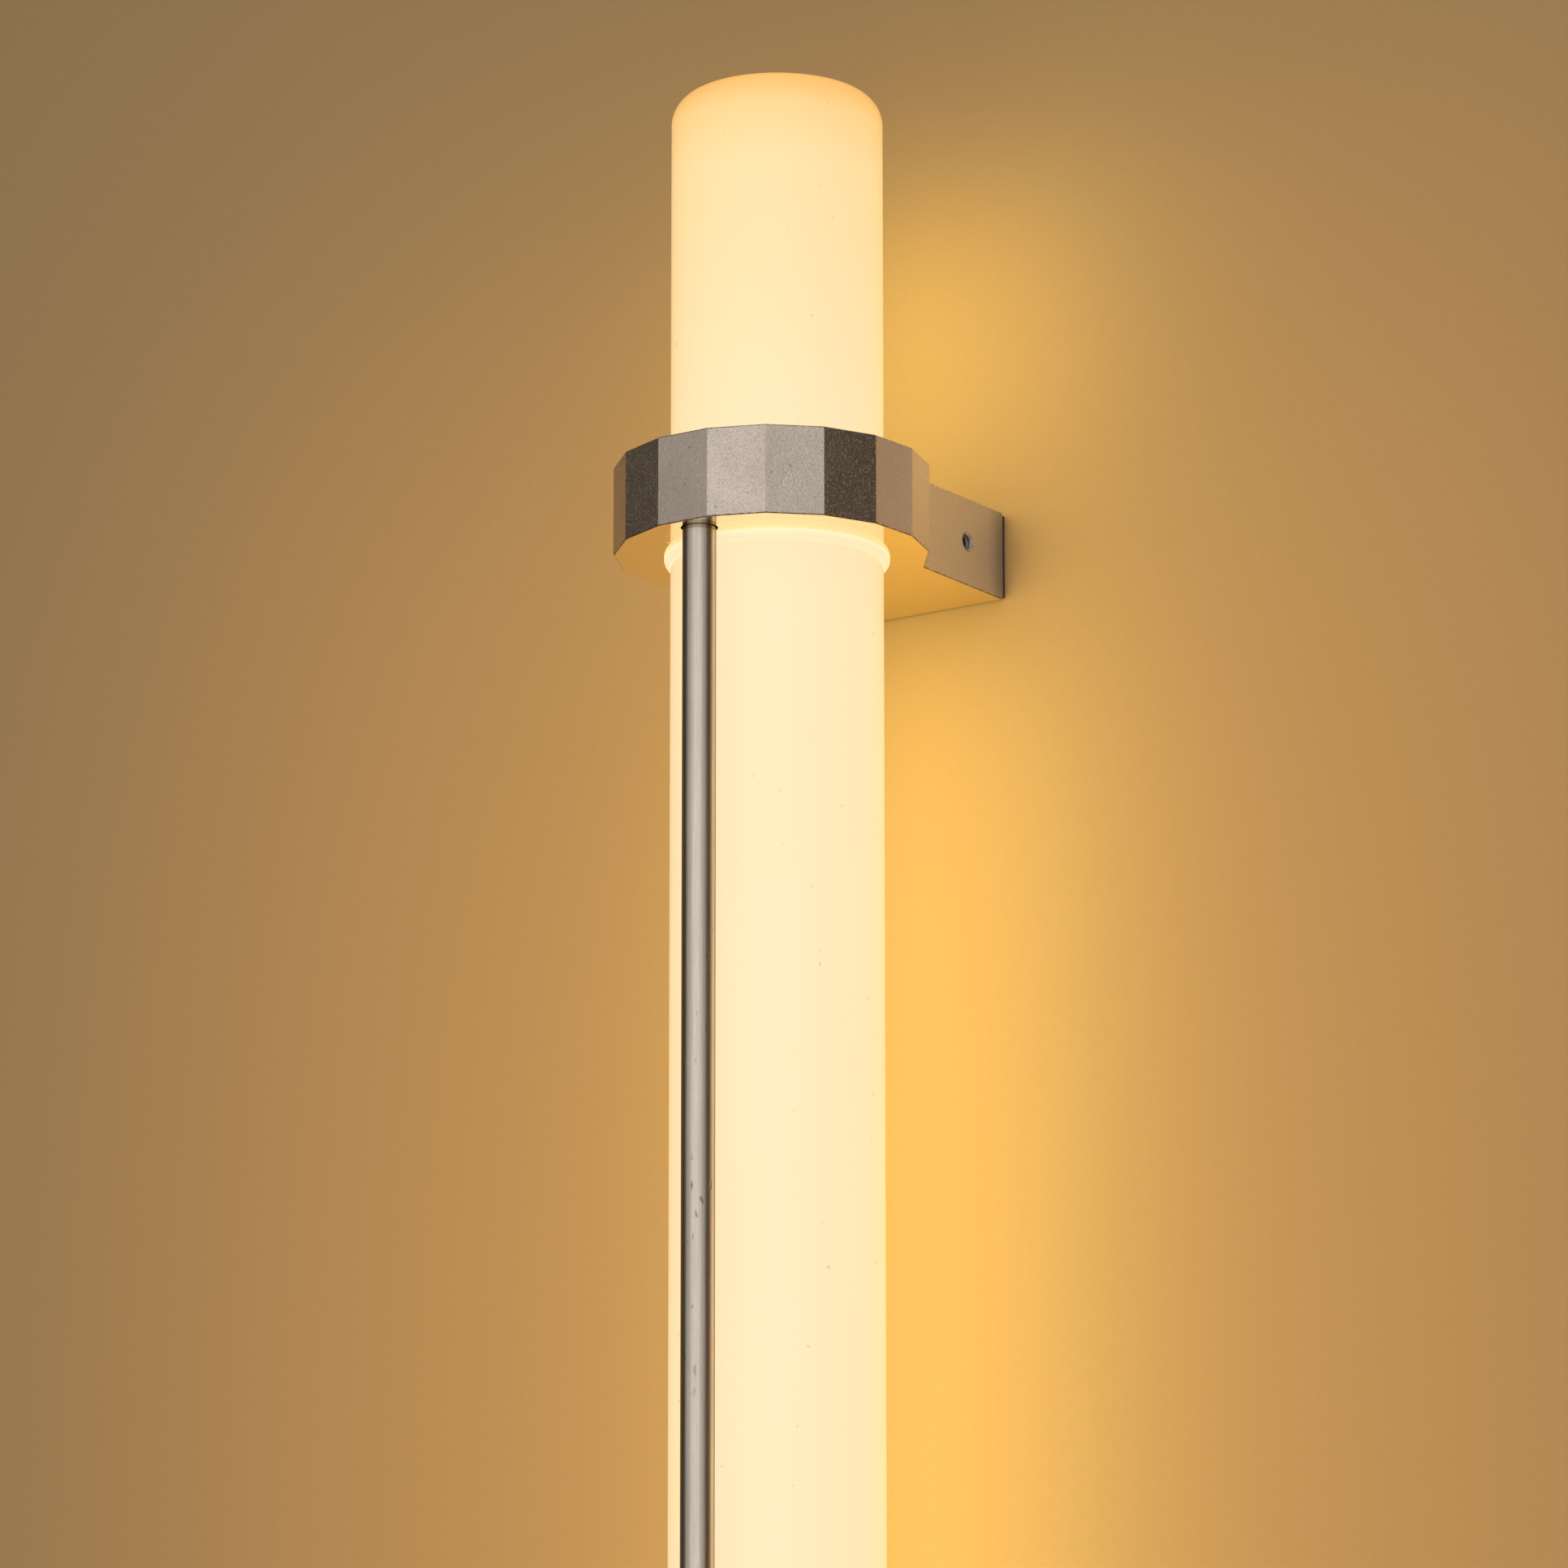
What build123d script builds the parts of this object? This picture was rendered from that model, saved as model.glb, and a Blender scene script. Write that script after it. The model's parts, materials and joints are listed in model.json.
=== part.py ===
"""Tube wall light: a lit opal tube carried by two faceted wall brackets, with a rod along its front.

Millimetres, +Z up, +Y into the wall, -Y towards the room.
The origin is the centre of the upper wall bracket's back face, on the wall.
"""
from build123d import *
from math import asin, cos, degrees, radians, sin
import os

os.makedirs("parts", exist_ok=True)

# ---- the lit tube ----
tube_length = 1200.0  # over both rounded ends
tube_diameter = 70.0
tube_wall = 3.0
tube_end_thickness = 5.0
tube_edge_radius = 10.0  # round of the closed top, repeated on the end cap
overhang = 129.0  # tube beyond the outer face of each collar
wall_distance = 85.0  # wall to tube axis

# ---- the faceted brackets ----
collar_height = 30.0
collar_rim = 17.0  # tube's surface to the circle through the corners of the facets
collar_shift = 3.0  # centre of that circle in front of the tube axis
facet_count = 13  # from one side of the arm round the front to the other
arm_width = 68.0
wall_gap = 1.5  # shadow gap between the arm and the wall
rim_chamfer = 0.4
bore_clearance = 0.4  # collar round the tube, radial

# ---- silicone grip rings ----
grip_clearance = 0.1  # ring round the tube, radial
ring_thickness = 1.3
ring_depth = 9.9  # sleeve inside the collar
ring_seat_clearance = 0.2
bead_width = 1.9  # how far the bead stands off the sleeve's inner wall
bead_height = 3.0
bead_radius = 2.6  # round of its section

# ---- front rod and its screws ----
rod_diameter = 11.0
rod_gap = 4.0  # between the tube and the rod
rod_socket_diameter = 12.0
rod_socket_depth = 10.0
seat_gap = 0.1  # between flat faces that are screwed up to each other
rod_screw_diameter = 6.0
rod_screw_length = 29.0
rod_screw_head_diameter = 10.0
rod_screw_head_height = 6.0
rod_screw_key = 5.0  # across flats
rod_screw_key_depth = 3.0
screw_play = 0.3  # clearance hole and counterbore, radial
thread_play = 0.05  # screw in its tapped hole, radial
tapped_extra = 1.5  # tapped hole beyond the screw's tip
head_recess = 0.6  # screw heads below the face they are sunk in

# ---- wall brackets, in a pocket at the back of each arm ----
clip_width = 53.4
clip_height = 22.0
clip_depth = 27.0
clip_sheet = 3.0
clip_fold_radius = 3.5
pocket_clearance = 0.3
pocket_end_clearance = 1.2
fixing_spacing = 34.0
fixing_diameter = 5.2
cable_hole_diameter = 10.0

# ---- side grub screws that lock each arm on its wall bracket ----
side_screw_diameter = 6.0  # over the thread
side_thread_depth = 0.5
side_screw_length = 5.0
side_screw_from_wall = 22.8
side_screw_key = 3.0
side_screw_key_depth = 2.2
side_screw_tip_chamfer = 0.5
side_hole_mouth = 2.2  # stretch of the tapped hole that shows its thread, cut to the full diameter
side_hole_countersink = 0.25

# ---- wall gaskets ----
gasket_inset = 0.3

# ---- light engine ----
spine_width = 24.0
spine_wall = 1.5
spine_corner_radius = 1.0
spine_end_gap = 12.0  # spine to the tube's closed end
spine_play = 0.3  # pieces round and inside the spine, and discs in the tube
disc_thickness = 4.0
disc_inset = 3.0  # disc in from the spine's end
strip_width = 12.0
strip_thickness = 1.2
strip_end_gap = 2.0
strip_seat = 0.1
light_line_width = 5.0
light_line_thickness = 1.0
strip_angles = {"front": -90.0, "right": 0.0, "left": 180.0}

# ---- driver inside the spine, and its wiring ----
driver_length = 170.0
driver_corner_radius = 1.5
feed_wire_diameter = 2.0
feed_wire_rise = 9.0
feed_wire_bend = 3.5
feed_wire_offset = 5.0  # wire from the spine's axis where it leaves the driver
feed_hole_play = 0.3
lead_diameter = 2.2
lead_places = {"live_lead": (-1.3, -0.9), "neutral_lead": (1.3, -0.9), "earth_lead": (0.0, 1.9)}
lead_play = 0.3
grommet_bore = 6.8
grommet_wall = 0.9
grommet_play = 0.2
grommet_overlap = 4.0  # grommet beyond the tube wall, each way
terminal_width = 22.0
terminal_height = 13.0
terminal_depth = 9.0
terminal_stand_off = 7.5
terminal_leg = 3.0
terminal_corner_radius = 1.5
terminal_way_spacing = 7.0  # between the three ways
terminal_screw_diameter = 3.2
terminal_screw_depth = 4.0
plug_depth = 6.5
plug_gap = 0.3

# ---- end cap ----
cap_height = 15.0
cap_spigot_height = 14.0
cap_spigot_play = 0.3
seal_diameter = 2.0
seal_squeeze = 0.15
cap_screw_diameter = 5.0
cap_screw_length = 24.0
cap_screw_head_diameter = 9.0
cap_screw_head_height = 3.0
cap_screw_head_round = 1.0
cap_screw_key = 3.0
cap_screw_key_depth = 1.8
foot_height = 16.0

# ---- worked out from the sizes above ----
half_collar = collar_height / 2
tube_radius = tube_diameter / 2
tube_bore = tube_radius - tube_wall
tube_top = half_collar + overhang
tube_foot = tube_top - tube_length
tube_open_end = tube_foot + cap_height
middle_height = (tube_top + tube_foot) / 2
lower_height = 2 * middle_height  # centre of the lower bracket
middle_plane = Plane.XY.offset(middle_height)
tube_axis = Axis((0, -wall_distance, 0), (0, 0, 1))
tube_section = Plane.XZ.offset(wall_distance)

collar_radius = tube_radius + collar_rim
rod_radius = rod_diameter / 2
rod_y = -wall_distance - tube_radius - rod_gap - rod_radius
socket_floor = -half_collar + rod_socket_depth
rod_top = socket_floor - seat_gap
rod_screw_seat = half_collar - head_recess - rod_screw_head_height
rod_screw_tip = rod_screw_seat - rod_screw_length

pocket_width = clip_width + 2 * pocket_clearance
pocket_height = clip_height + 2 * pocket_clearance
pocket_end = clip_depth + pocket_end_clearance  # from the wall
side_screw_core = side_screw_diameter / 2 - side_thread_depth  # radius inside the thread
ring_seat_radius = tube_radius + grip_clearance + ring_thickness + ring_seat_clearance

spine_top = tube_top - tube_end_thickness - spine_end_gap
spine_foot_height = tube_open_end + cap_spigot_height + seat_gap
spine_inner = spine_width - 2 * spine_wall
upper_disc_height = spine_top - disc_inset - disc_thickness
lower_disc_height = spine_foot_height + disc_inset
strip_bottom = lower_disc_height + disc_thickness + strip_end_gap
strip_length = upper_disc_height - strip_end_gap - strip_bottom
strip_radius = spine_width / 2 + strip_seat + strip_thickness / 2
light_line_radius = strip_radius + (strip_thickness + light_line_thickness) / 2
driver_width = spine_inner - 2 * spine_play
driver_top = lower_height + driver_length / 2
feed_hole_height = driver_top + feed_wire_rise
grommet_radius = grommet_bore / 2 + grommet_wall
channel_radius = grommet_radius + grommet_play
plug_front = pocket_end - plug_gap
plug_back = plug_front - plug_depth
terminal_front = plug_back - plug_gap
spine_back = wall_distance - spine_width / 2  # from the wall
driver_back = wall_distance - driver_width / 2


def bracket_outline():
    """Corners of the faceted collar, then the two corners of the arm at the wall."""
    arm_side = 180 - degrees(asin(arm_width / 2 / collar_radius))
    step = 2 * arm_side / facet_count
    angles = [radians(i * step - arm_side) for i in range(facet_count + 1)]
    centre_y = -wall_distance - collar_shift
    corners = [(collar_radius * sin(a), centre_y - collar_radius * cos(a)) for a in angles]
    return corners + [(arm_width / 2, -wall_gap), (-arm_width / 2, -wall_gap)]


# ---- faceted bracket, machined from one block ----
with BuildPart() as upper_bracket:
    with BuildSketch(Plane.XY.offset(-half_collar)):
        with BuildLine():
            Polyline(*bracket_outline(), close=True)
        make_face()
    extrude(amount=collar_height)
    chamfer(upper_bracket.faces().filter_by(Axis.Z).edges(), length=rim_chamfer)
    # bore for the tube, with the wider seat of the grip ring at the inner face
    with BuildSketch(Plane.XY.offset(-half_collar)):
        with Locations((0, -wall_distance)):
            Circle(tube_radius + bore_clearance)
    extrude(amount=collar_height, mode=Mode.SUBTRACT)
    with BuildSketch(Plane.XY.offset(-half_collar)):
        with Locations((0, -wall_distance)):
            Circle(ring_seat_radius)
    extrude(amount=ring_depth + seat_gap, mode=Mode.SUBTRACT)
    # pocket for the wall bracket, and the lead channel from it to the bore
    with BuildSketch(Plane.XZ.offset(wall_gap)):
        Rectangle(pocket_width, pocket_height)
    extrude(amount=pocket_end - wall_gap, mode=Mode.SUBTRACT)
    with BuildSketch(Plane.XZ.offset(pocket_end)):
        Circle(channel_radius)
    extrude(amount=wall_distance - pocket_end, mode=Mode.SUBTRACT)
    # rod socket in the inner face, and the counterbored hole for its screw
    with BuildSketch(Plane.XY.offset(-half_collar)):
        with Locations((0, rod_y)):
            Circle(rod_socket_diameter / 2)
    extrude(amount=rod_socket_depth, mode=Mode.SUBTRACT)
    with Locations((0, rod_y, half_collar)):
        CounterBoreHole(
            radius=rod_screw_diameter / 2 + screw_play,
            counter_bore_radius=rod_screw_head_diameter / 2 + screw_play,
            counter_bore_depth=half_collar - rod_screw_seat + seat_gap,
            depth=collar_height,
        )
    # tapped hole for the side grub screw: the thread's core, and the full diameter at its mouth
    with Locations(Plane(origin=(arm_width / 2, -side_screw_from_wall, 0), z_dir=(1, 0, 0))):
        Hole(
            radius=side_screw_core + thread_play,
            depth=(arm_width - pocket_width) / 2 + pocket_clearance,
        )
        CounterSinkHole(
            radius=side_screw_diameter / 2 + thread_play,
            counter_sink_radius=side_screw_diameter / 2 + thread_play + side_hole_countersink,
            depth=side_hole_mouth,
        )

# ---- grip ring: a sleeve in the collar with a bead round the tube ----
with BuildPart() as upper_grip_ring:
    ring_bore = tube_radius + grip_clearance
    bead_top = -half_collar - seat_gap
    with BuildSketch(tube_section):
        with BuildLine():
            Polyline(
                (ring_bore, bead_top - bead_height),
                (ring_bore, -half_collar + ring_depth),
                (ring_bore + ring_thickness, -half_collar + ring_depth),
                (ring_bore + ring_thickness, bead_top),
                (ring_bore + bead_width, bead_top),
            )
            RadiusArc(
                (ring_bore + bead_width, bead_top),
                (ring_bore, bead_top - bead_height),
                bead_radius,
            )
        make_face()
    revolve(axis=tube_axis)

# ---- gasket frame behind the arm ----
with BuildPart() as upper_wall_gasket:
    with BuildSketch(Plane.XZ):
        Rectangle(arm_width - 2 * gasket_inset, collar_height - 2 * gasket_inset)
        Rectangle(pocket_width, pocket_height, mode=Mode.SUBTRACT)
    extrude(amount=wall_gap)

# ---- folded wall bracket that the arm slides over ----
with BuildPart() as upper_wall_bracket:
    with BuildSketch(Plane.XY.offset(-clip_height / 2)):
        with Locations((0, -clip_depth / 2)):
            Rectangle(clip_width, clip_depth)
        with Locations((0, -(clip_depth + clip_sheet) / 2)):
            Rectangle(clip_width - 2 * clip_sheet, clip_depth - clip_sheet, mode=Mode.SUBTRACT)
    extrude(amount=clip_height)
    fillet(
        upper_wall_bracket.edges().filter_by(Axis.Z).group_by(Axis.Y)[-1],
        radius=clip_fold_radius,
    )
    with BuildSketch(Plane.XZ):
        with GridLocations(fixing_spacing, 0, 2, 1):
            Circle(fixing_diameter / 2)
    extrude(amount=clip_sheet, mode=Mode.SUBTRACT)

with BuildPart() as lower_wall_bracket:
    mirror(upper_wall_bracket.part, about=middle_plane)
    with BuildSketch(Plane.XZ):
        with Locations((0, lower_height)):
            Circle(cable_hole_diameter / 2)
    extrude(amount=clip_sheet, mode=Mode.SUBTRACT)

# ---- side grub screw, flat tip against the wall bracket's flange ----
with BuildPart() as upper_side_screw:
    side_screw_tip = clip_width / 2 + seat_gap
    tip_plane = Plane(
        origin=(side_screw_tip, -side_screw_from_wall, 0), x_dir=(0, 1, 0), z_dir=(1, 0, 0)
    )
    with BuildSketch(tip_plane):
        Circle(side_screw_core)
    extrude(amount=side_screw_length)
    chamfer(upper_side_screw.edges().group_by(Axis.X)[0], length=side_screw_tip_chamfer)
    with BuildSketch(tip_plane.offset(side_screw_length)):
        RegularPolygon(side_screw_key / 2, 6, major_radius=False)
    extrude(amount=-side_screw_key_depth, mode=Mode.SUBTRACT)

# ---- front rod, tapped at both ends ----
with BuildPart() as support_rod:
    rod_foot = 2 * middle_height - rod_top
    tapped_depth = rod_top - rod_screw_tip + tapped_extra
    with BuildSketch(Plane.XY.offset(rod_foot)):
        with Locations((0, rod_y)):
            Circle(rod_radius)
    extrude(amount=rod_top - rod_foot)
    chamfer(support_rod.edges().filter_by(GeomType.CIRCLE), length=rim_chamfer)
    with Locations((0, rod_y, rod_top)):
        Hole(radius=rod_screw_diameter / 2 + thread_play, depth=tapped_depth)
    with Locations(Plane(origin=(0, rod_y, rod_foot), z_dir=(0, 0, -1))):
        Hole(radius=rod_screw_diameter / 2 + thread_play, depth=tapped_depth)

# ---- cap screw that pulls the rod into its socket ----
with BuildPart() as upper_rod_screw:
    with BuildSketch(Plane.XY.offset(rod_screw_tip)):
        with Locations((0, rod_y)):
            Circle(rod_screw_diameter / 2)
    extrude(amount=rod_screw_length)
    with BuildSketch(Plane.XY.offset(rod_screw_seat)):
        with Locations((0, rod_y)):
            Circle(rod_screw_head_diameter / 2)
    extrude(amount=rod_screw_head_height)
    chamfer(upper_rod_screw.edges().group_by(Axis.Z)[-1], length=rim_chamfer)
    with BuildSketch(Plane.XY.offset(rod_screw_seat + rod_screw_head_height)):
        with Locations((0, rod_y)):
            RegularPolygon(rod_screw_key / 2, 6, major_radius=False)
    extrude(amount=-rod_screw_key_depth, mode=Mode.SUBTRACT)

# ---- the lower bracket and its fittings mirror the upper ones ----
with BuildPart() as lower_bracket:
    mirror(upper_bracket.part, about=middle_plane)

with BuildPart() as lower_grip_ring:
    mirror(upper_grip_ring.part, about=middle_plane)

with BuildPart() as lower_wall_gasket:
    mirror(upper_wall_gasket.part, about=middle_plane)

with BuildPart() as lower_side_screw:
    mirror(upper_side_screw.part, about=middle_plane)

with BuildPart() as lower_rod_screw:
    mirror(upper_rod_screw.part, about=middle_plane)

# ---- opal tube, closed and rounded at the top, open at the foot ----
with BuildPart() as diffuser_tube:
    with BuildSketch(Plane.XY.offset(tube_open_end)):
        with Locations((0, -wall_distance)):
            Circle(tube_radius)
    extrude(amount=tube_top - tube_open_end)
    fillet(diffuser_tube.edges().group_by(Axis.Z)[-1], radius=tube_edge_radius)
    with BuildSketch(tube_section):
        with BuildLine():
            cavity_top = tube_top - tube_end_thickness
            cavity_round = tube_edge_radius - tube_wall
            Polyline(
                (tube_bore, cavity_top - cavity_round),
                (tube_bore, tube_open_end),
                (0, tube_open_end),
                (0, cavity_top),
                (tube_bore - cavity_round, cavity_top),
            )
            RadiusArc(
                (tube_bore - cavity_round, cavity_top),
                (tube_bore, cavity_top - cavity_round),
                cavity_round,
            )
        make_face()
    revolve(axis=tube_axis, mode=Mode.SUBTRACT)
    # hole for the leads, hidden in the lower collar
    with BuildSketch(Plane.XZ.offset(wall_distance - tube_radius - bore_clearance)):
        with Locations((0, lower_height)):
            Circle(grommet_radius + grommet_play)
    extrude(amount=tube_wall + 2 * bore_clearance, mode=Mode.SUBTRACT)

# ---- end cap with its spigot and seal groove ----
with BuildPart() as end_cap:
    spigot_radius = tube_bore - cap_spigot_play
    spigot_top = tube_open_end + cap_spigot_height
    seal_height = tube_open_end + cap_spigot_height / 2
    seal_groove = tube_bore - seal_diameter + seal_squeeze
    with BuildSketch(Plane.XY.offset(tube_foot)):
        with Locations((0, -wall_distance)):
            Circle(tube_radius)
    extrude(amount=cap_height - seat_gap)
    fillet(end_cap.edges().group_by(Axis.Z)[0], radius=tube_edge_radius)
    with BuildSketch(Plane.XY.offset(tube_open_end - seat_gap)):
        with Locations((0, -wall_distance)):
            Circle(spigot_radius)
    extrude(amount=cap_spigot_height + seat_gap)
    with BuildSketch(Plane.XY.offset(seal_height - seal_diameter / 2)):
        with Locations((0, -wall_distance)):
            Circle(spigot_radius)
            Circle(seal_groove - seat_gap, mode=Mode.SUBTRACT)
    extrude(amount=seal_diameter, mode=Mode.SUBTRACT)
    cap_screw_seat = tube_foot + head_recess + cap_screw_head_height
    with Locations(Plane(origin=(0, -wall_distance, tube_foot), z_dir=(0, 0, -1))):
        CounterBoreHole(
            radius=cap_screw_diameter / 2 + screw_play,
            counter_bore_radius=cap_screw_head_diameter / 2 + screw_play,
            counter_bore_depth=head_recess + cap_screw_head_height + seat_gap,
            depth=cap_height + cap_spigot_height,
        )

with BuildPart() as end_cap_seal:
    with BuildSketch(tube_section):
        with Locations((tube_bore - seal_diameter / 2, seal_height)):
            Circle((seal_diameter - seal_squeeze) / 2)
    revolve(axis=tube_axis)

with BuildPart() as end_cap_screw:
    with BuildSketch(Plane.XY.offset(cap_screw_seat)):
        with Locations((0, -wall_distance)):
            Circle(cap_screw_diameter / 2)
    extrude(amount=cap_screw_length)
    with BuildSketch(Plane.XY.offset(cap_screw_seat)):
        with Locations((0, -wall_distance)):
            Circle(cap_screw_head_diameter / 2)
    extrude(amount=-cap_screw_head_height)
    fillet(end_cap_screw.edges().group_by(Axis.Z)[0], radius=cap_screw_head_round)
    with BuildSketch(Plane.XY.offset(cap_screw_seat - cap_screw_head_height)):
        with Locations((0, -wall_distance)):
            RegularPolygon(cap_screw_key / 2, 6, major_radius=False)
    extrude(amount=cap_screw_key_depth, mode=Mode.SUBTRACT)

# ---- aluminium spine that carries the light strips ----
with BuildPart() as led_spine:
    with BuildSketch(Plane.XY.offset(spine_foot_height)):
        with Locations((0, -wall_distance)):
            RectangleRounded(spine_width, spine_width, spine_corner_radius)
            Rectangle(spine_inner, spine_inner, mode=Mode.SUBTRACT)
    extrude(amount=spine_top - spine_foot_height)
    # slot in the back for the live and neutral leads
    with BuildSketch(Plane.XZ.offset(spine_back)):
        live_place = lead_places["live_lead"]
        neutral_place = lead_places["neutral_lead"]
        with Locations((0, lower_height + live_place[1])):
            SlotCenterToCenter(
                neutral_place[0] - live_place[0], lead_diameter + 2 * lead_play
            )
    extrude(amount=spine_wall, mode=Mode.SUBTRACT)
    # holes for the wires that feed the strips
    for angle in strip_angles.values():
        outward = Plane(
            origin=(0, -wall_distance, feed_hole_height),
            z_dir=(cos(radians(angle)), sin(radians(angle)), 0),
        )
        with BuildSketch(outward):
            Circle(feed_wire_diameter / 2 + feed_hole_play)
        extrude(amount=spine_width / 2, mode=Mode.SUBTRACT)

with BuildPart() as spine_foot:
    with BuildSketch(Plane.XY.offset(spine_foot_height)):
        with Locations((0, -wall_distance)):
            Rectangle(driver_width, driver_width)
    extrude(amount=foot_height)
    with Locations(Plane(origin=(0, -wall_distance, spine_foot_height), z_dir=(0, 0, -1))):
        Hole(radius=cap_screw_diameter / 2 + thread_play, depth=foot_height)


def centring_disc_sketch(height):
    """Disc that centres the spine in the tube, drawn at this height."""
    with BuildSketch(Plane.XY.offset(height)) as disc:
        with Locations((0, -wall_distance)):
            Circle(tube_bore - spine_play)
            Rectangle(
                spine_width + 2 * spine_play, spine_width + 2 * spine_play, mode=Mode.SUBTRACT
            )
    return disc.sketch


with BuildPart() as upper_centring_disc:
    extrude(centring_disc_sketch(upper_disc_height), amount=disc_thickness)

with BuildPart() as lower_centring_disc:
    extrude(centring_disc_sketch(lower_disc_height), amount=disc_thickness)

# ---- driver and its leads ----
with BuildPart() as driver:
    with BuildSketch(Plane.XY.offset(driver_top - driver_length)):
        with Locations((0, -wall_distance)):
            RectangleRounded(driver_width, driver_width, driver_corner_radius)
    extrude(amount=driver_length)

with BuildPart() as strip_feed_wires:
    for angle in strip_angles.values():
        side_plane = Plane(
            origin=(0, -wall_distance, driver_top),
            x_dir=(cos(radians(angle)), sin(radians(angle)), 0),
            z_dir=(sin(radians(angle)), -cos(radians(angle)), 0),
        )
        with BuildLine(side_plane) as route:
            FilletPolyline(
                (feed_wire_offset, 0),
                (feed_wire_offset, feed_wire_rise),
                (spine_width / 2, feed_wire_rise),
                radius=feed_wire_bend,
            )
        with BuildSketch(Plane(origin=route.line @ 0, z_dir=route.line % 0)):
            Circle(feed_wire_diameter / 2)
        sweep(path=route.line)

with BuildPart() as lead_grommet:
    grommet_back = wall_distance - tube_radius - grommet_overlap  # from the wall
    with BuildSketch(Plane.XZ.offset(grommet_back)):
        with Locations((0, lower_height)):
            Circle(grommet_radius)
            Circle(grommet_bore / 2, mode=Mode.SUBTRACT)
    extrude(amount=tube_wall + 2 * grommet_overlap)

with BuildPart() as lamp_plug:
    with BuildSketch(Plane.XZ.offset(plug_back)):
        with Locations((0, lower_height)):
            RectangleRounded(terminal_width, terminal_height, terminal_corner_radius)
    extrude(amount=plug_depth)

with BuildPart() as mains_terminal:
    with BuildSketch(Plane.XZ.offset(terminal_front - terminal_depth)):
        with Locations((0, lower_height)):
            RectangleRounded(terminal_width, terminal_height, terminal_corner_radius)
    extrude(amount=terminal_depth)
    # two legs that stand it off the plate, so that the mains cable can turn in behind it
    with BuildSketch(Plane.XZ.offset(clip_sheet + seat_gap)):
        with Locations((0, lower_height)):
            with GridLocations(terminal_width - terminal_leg, 0, 2, 1):
                Rectangle(terminal_leg, terminal_height - terminal_leg)
    extrude(amount=terminal_front - terminal_depth - clip_sheet - seat_gap)
    # the three clamp screws' wells, in the top
    with BuildSketch(Plane.XY.offset(lower_height + terminal_height / 2)):
        with Locations((0, -(terminal_front - terminal_depth / 2))):
            with GridLocations(terminal_way_spacing, 0, 3, 1):
                Circle(terminal_screw_diameter / 2)
    extrude(amount=-terminal_screw_depth, mode=Mode.SUBTRACT)

pieces = {
    "upper_wall_bracket": upper_wall_bracket,
    "lower_wall_bracket": lower_wall_bracket,
    "mains_terminal": mains_terminal,
    "upper_bracket": upper_bracket,
    "lower_bracket": lower_bracket,
    "upper_wall_gasket": upper_wall_gasket,
    "lower_wall_gasket": lower_wall_gasket,
    "upper_grip_ring": upper_grip_ring,
    "lower_grip_ring": lower_grip_ring,
    "upper_side_screw": upper_side_screw,
    "lower_side_screw": lower_side_screw,
    "support_rod": support_rod,
    "upper_rod_screw": upper_rod_screw,
    "lower_rod_screw": lower_rod_screw,
    "diffuser_tube": diffuser_tube,
    "end_cap": end_cap,
    "end_cap_seal": end_cap_seal,
    "end_cap_screw": end_cap_screw,
    "led_spine": led_spine,
    "spine_foot": spine_foot,
    "upper_centring_disc": upper_centring_disc,
    "lower_centring_disc": lower_centring_disc,
    "driver": driver,
    "strip_feed_wires": strip_feed_wires,
    "lead_grommet": lead_grommet,
    "lamp_plug": lamp_plug,
}

# ---- three light strips, each a board with its line of light ----
for side, angle in strip_angles.items():
    with BuildPart() as strip_board:
        with BuildSketch(Plane.XY.offset(strip_bottom)):
            with Locations((0, -wall_distance)):
                with PolarLocations(strip_radius, 1, start_angle=angle):
                    Rectangle(strip_thickness, strip_width)
        extrude(amount=strip_length)
    with BuildPart() as light_line:
        with BuildSketch(Plane.XY.offset(strip_bottom + strip_end_gap)):
            with Locations((0, -wall_distance)):
                with PolarLocations(light_line_radius, 1, start_angle=angle):
                    Rectangle(light_line_thickness, light_line_width)
        extrude(amount=strip_length - 2 * strip_end_gap)
    pieces["led_strip_" + side] = strip_board
    pieces["light_line_" + side] = light_line

# ---- leads from the plug to the driver, and the earth lead to the spine ----
for lead, (lead_x, lead_z) in lead_places.items():
    lead_end = spine_back if lead == "earth_lead" else driver_back
    with BuildPart() as lead_wire:
        with BuildSketch(Plane.XZ.offset(plug_front)):
            with Locations((lead_x, lower_height + lead_z)):
                Circle(lead_diameter / 2)
        extrude(amount=lead_end - plug_front)
    pieces[lead] = lead_wire

for name, piece in pieces.items():
    piece.part.label = name
    export_step(piece.part, "parts/" + name + ".step")
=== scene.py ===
import json
import math

import bmesh
import bpy
from mathutils import Matrix, Vector


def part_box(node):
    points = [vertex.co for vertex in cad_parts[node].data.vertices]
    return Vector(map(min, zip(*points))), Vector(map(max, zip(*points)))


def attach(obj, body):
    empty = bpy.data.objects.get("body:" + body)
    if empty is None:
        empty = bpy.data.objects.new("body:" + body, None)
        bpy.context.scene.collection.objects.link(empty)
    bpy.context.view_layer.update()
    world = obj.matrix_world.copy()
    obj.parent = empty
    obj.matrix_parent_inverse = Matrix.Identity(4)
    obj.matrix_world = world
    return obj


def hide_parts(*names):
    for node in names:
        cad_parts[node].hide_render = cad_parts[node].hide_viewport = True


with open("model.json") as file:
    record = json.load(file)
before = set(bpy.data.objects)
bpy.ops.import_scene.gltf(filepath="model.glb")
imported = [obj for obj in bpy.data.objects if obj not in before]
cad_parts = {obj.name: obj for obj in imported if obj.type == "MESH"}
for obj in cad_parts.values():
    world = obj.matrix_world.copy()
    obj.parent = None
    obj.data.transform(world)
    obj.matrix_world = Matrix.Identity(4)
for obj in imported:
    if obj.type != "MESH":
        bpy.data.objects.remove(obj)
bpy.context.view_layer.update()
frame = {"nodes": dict(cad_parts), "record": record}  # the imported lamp: metres, +Z up the tube, +Y into the wall

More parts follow.
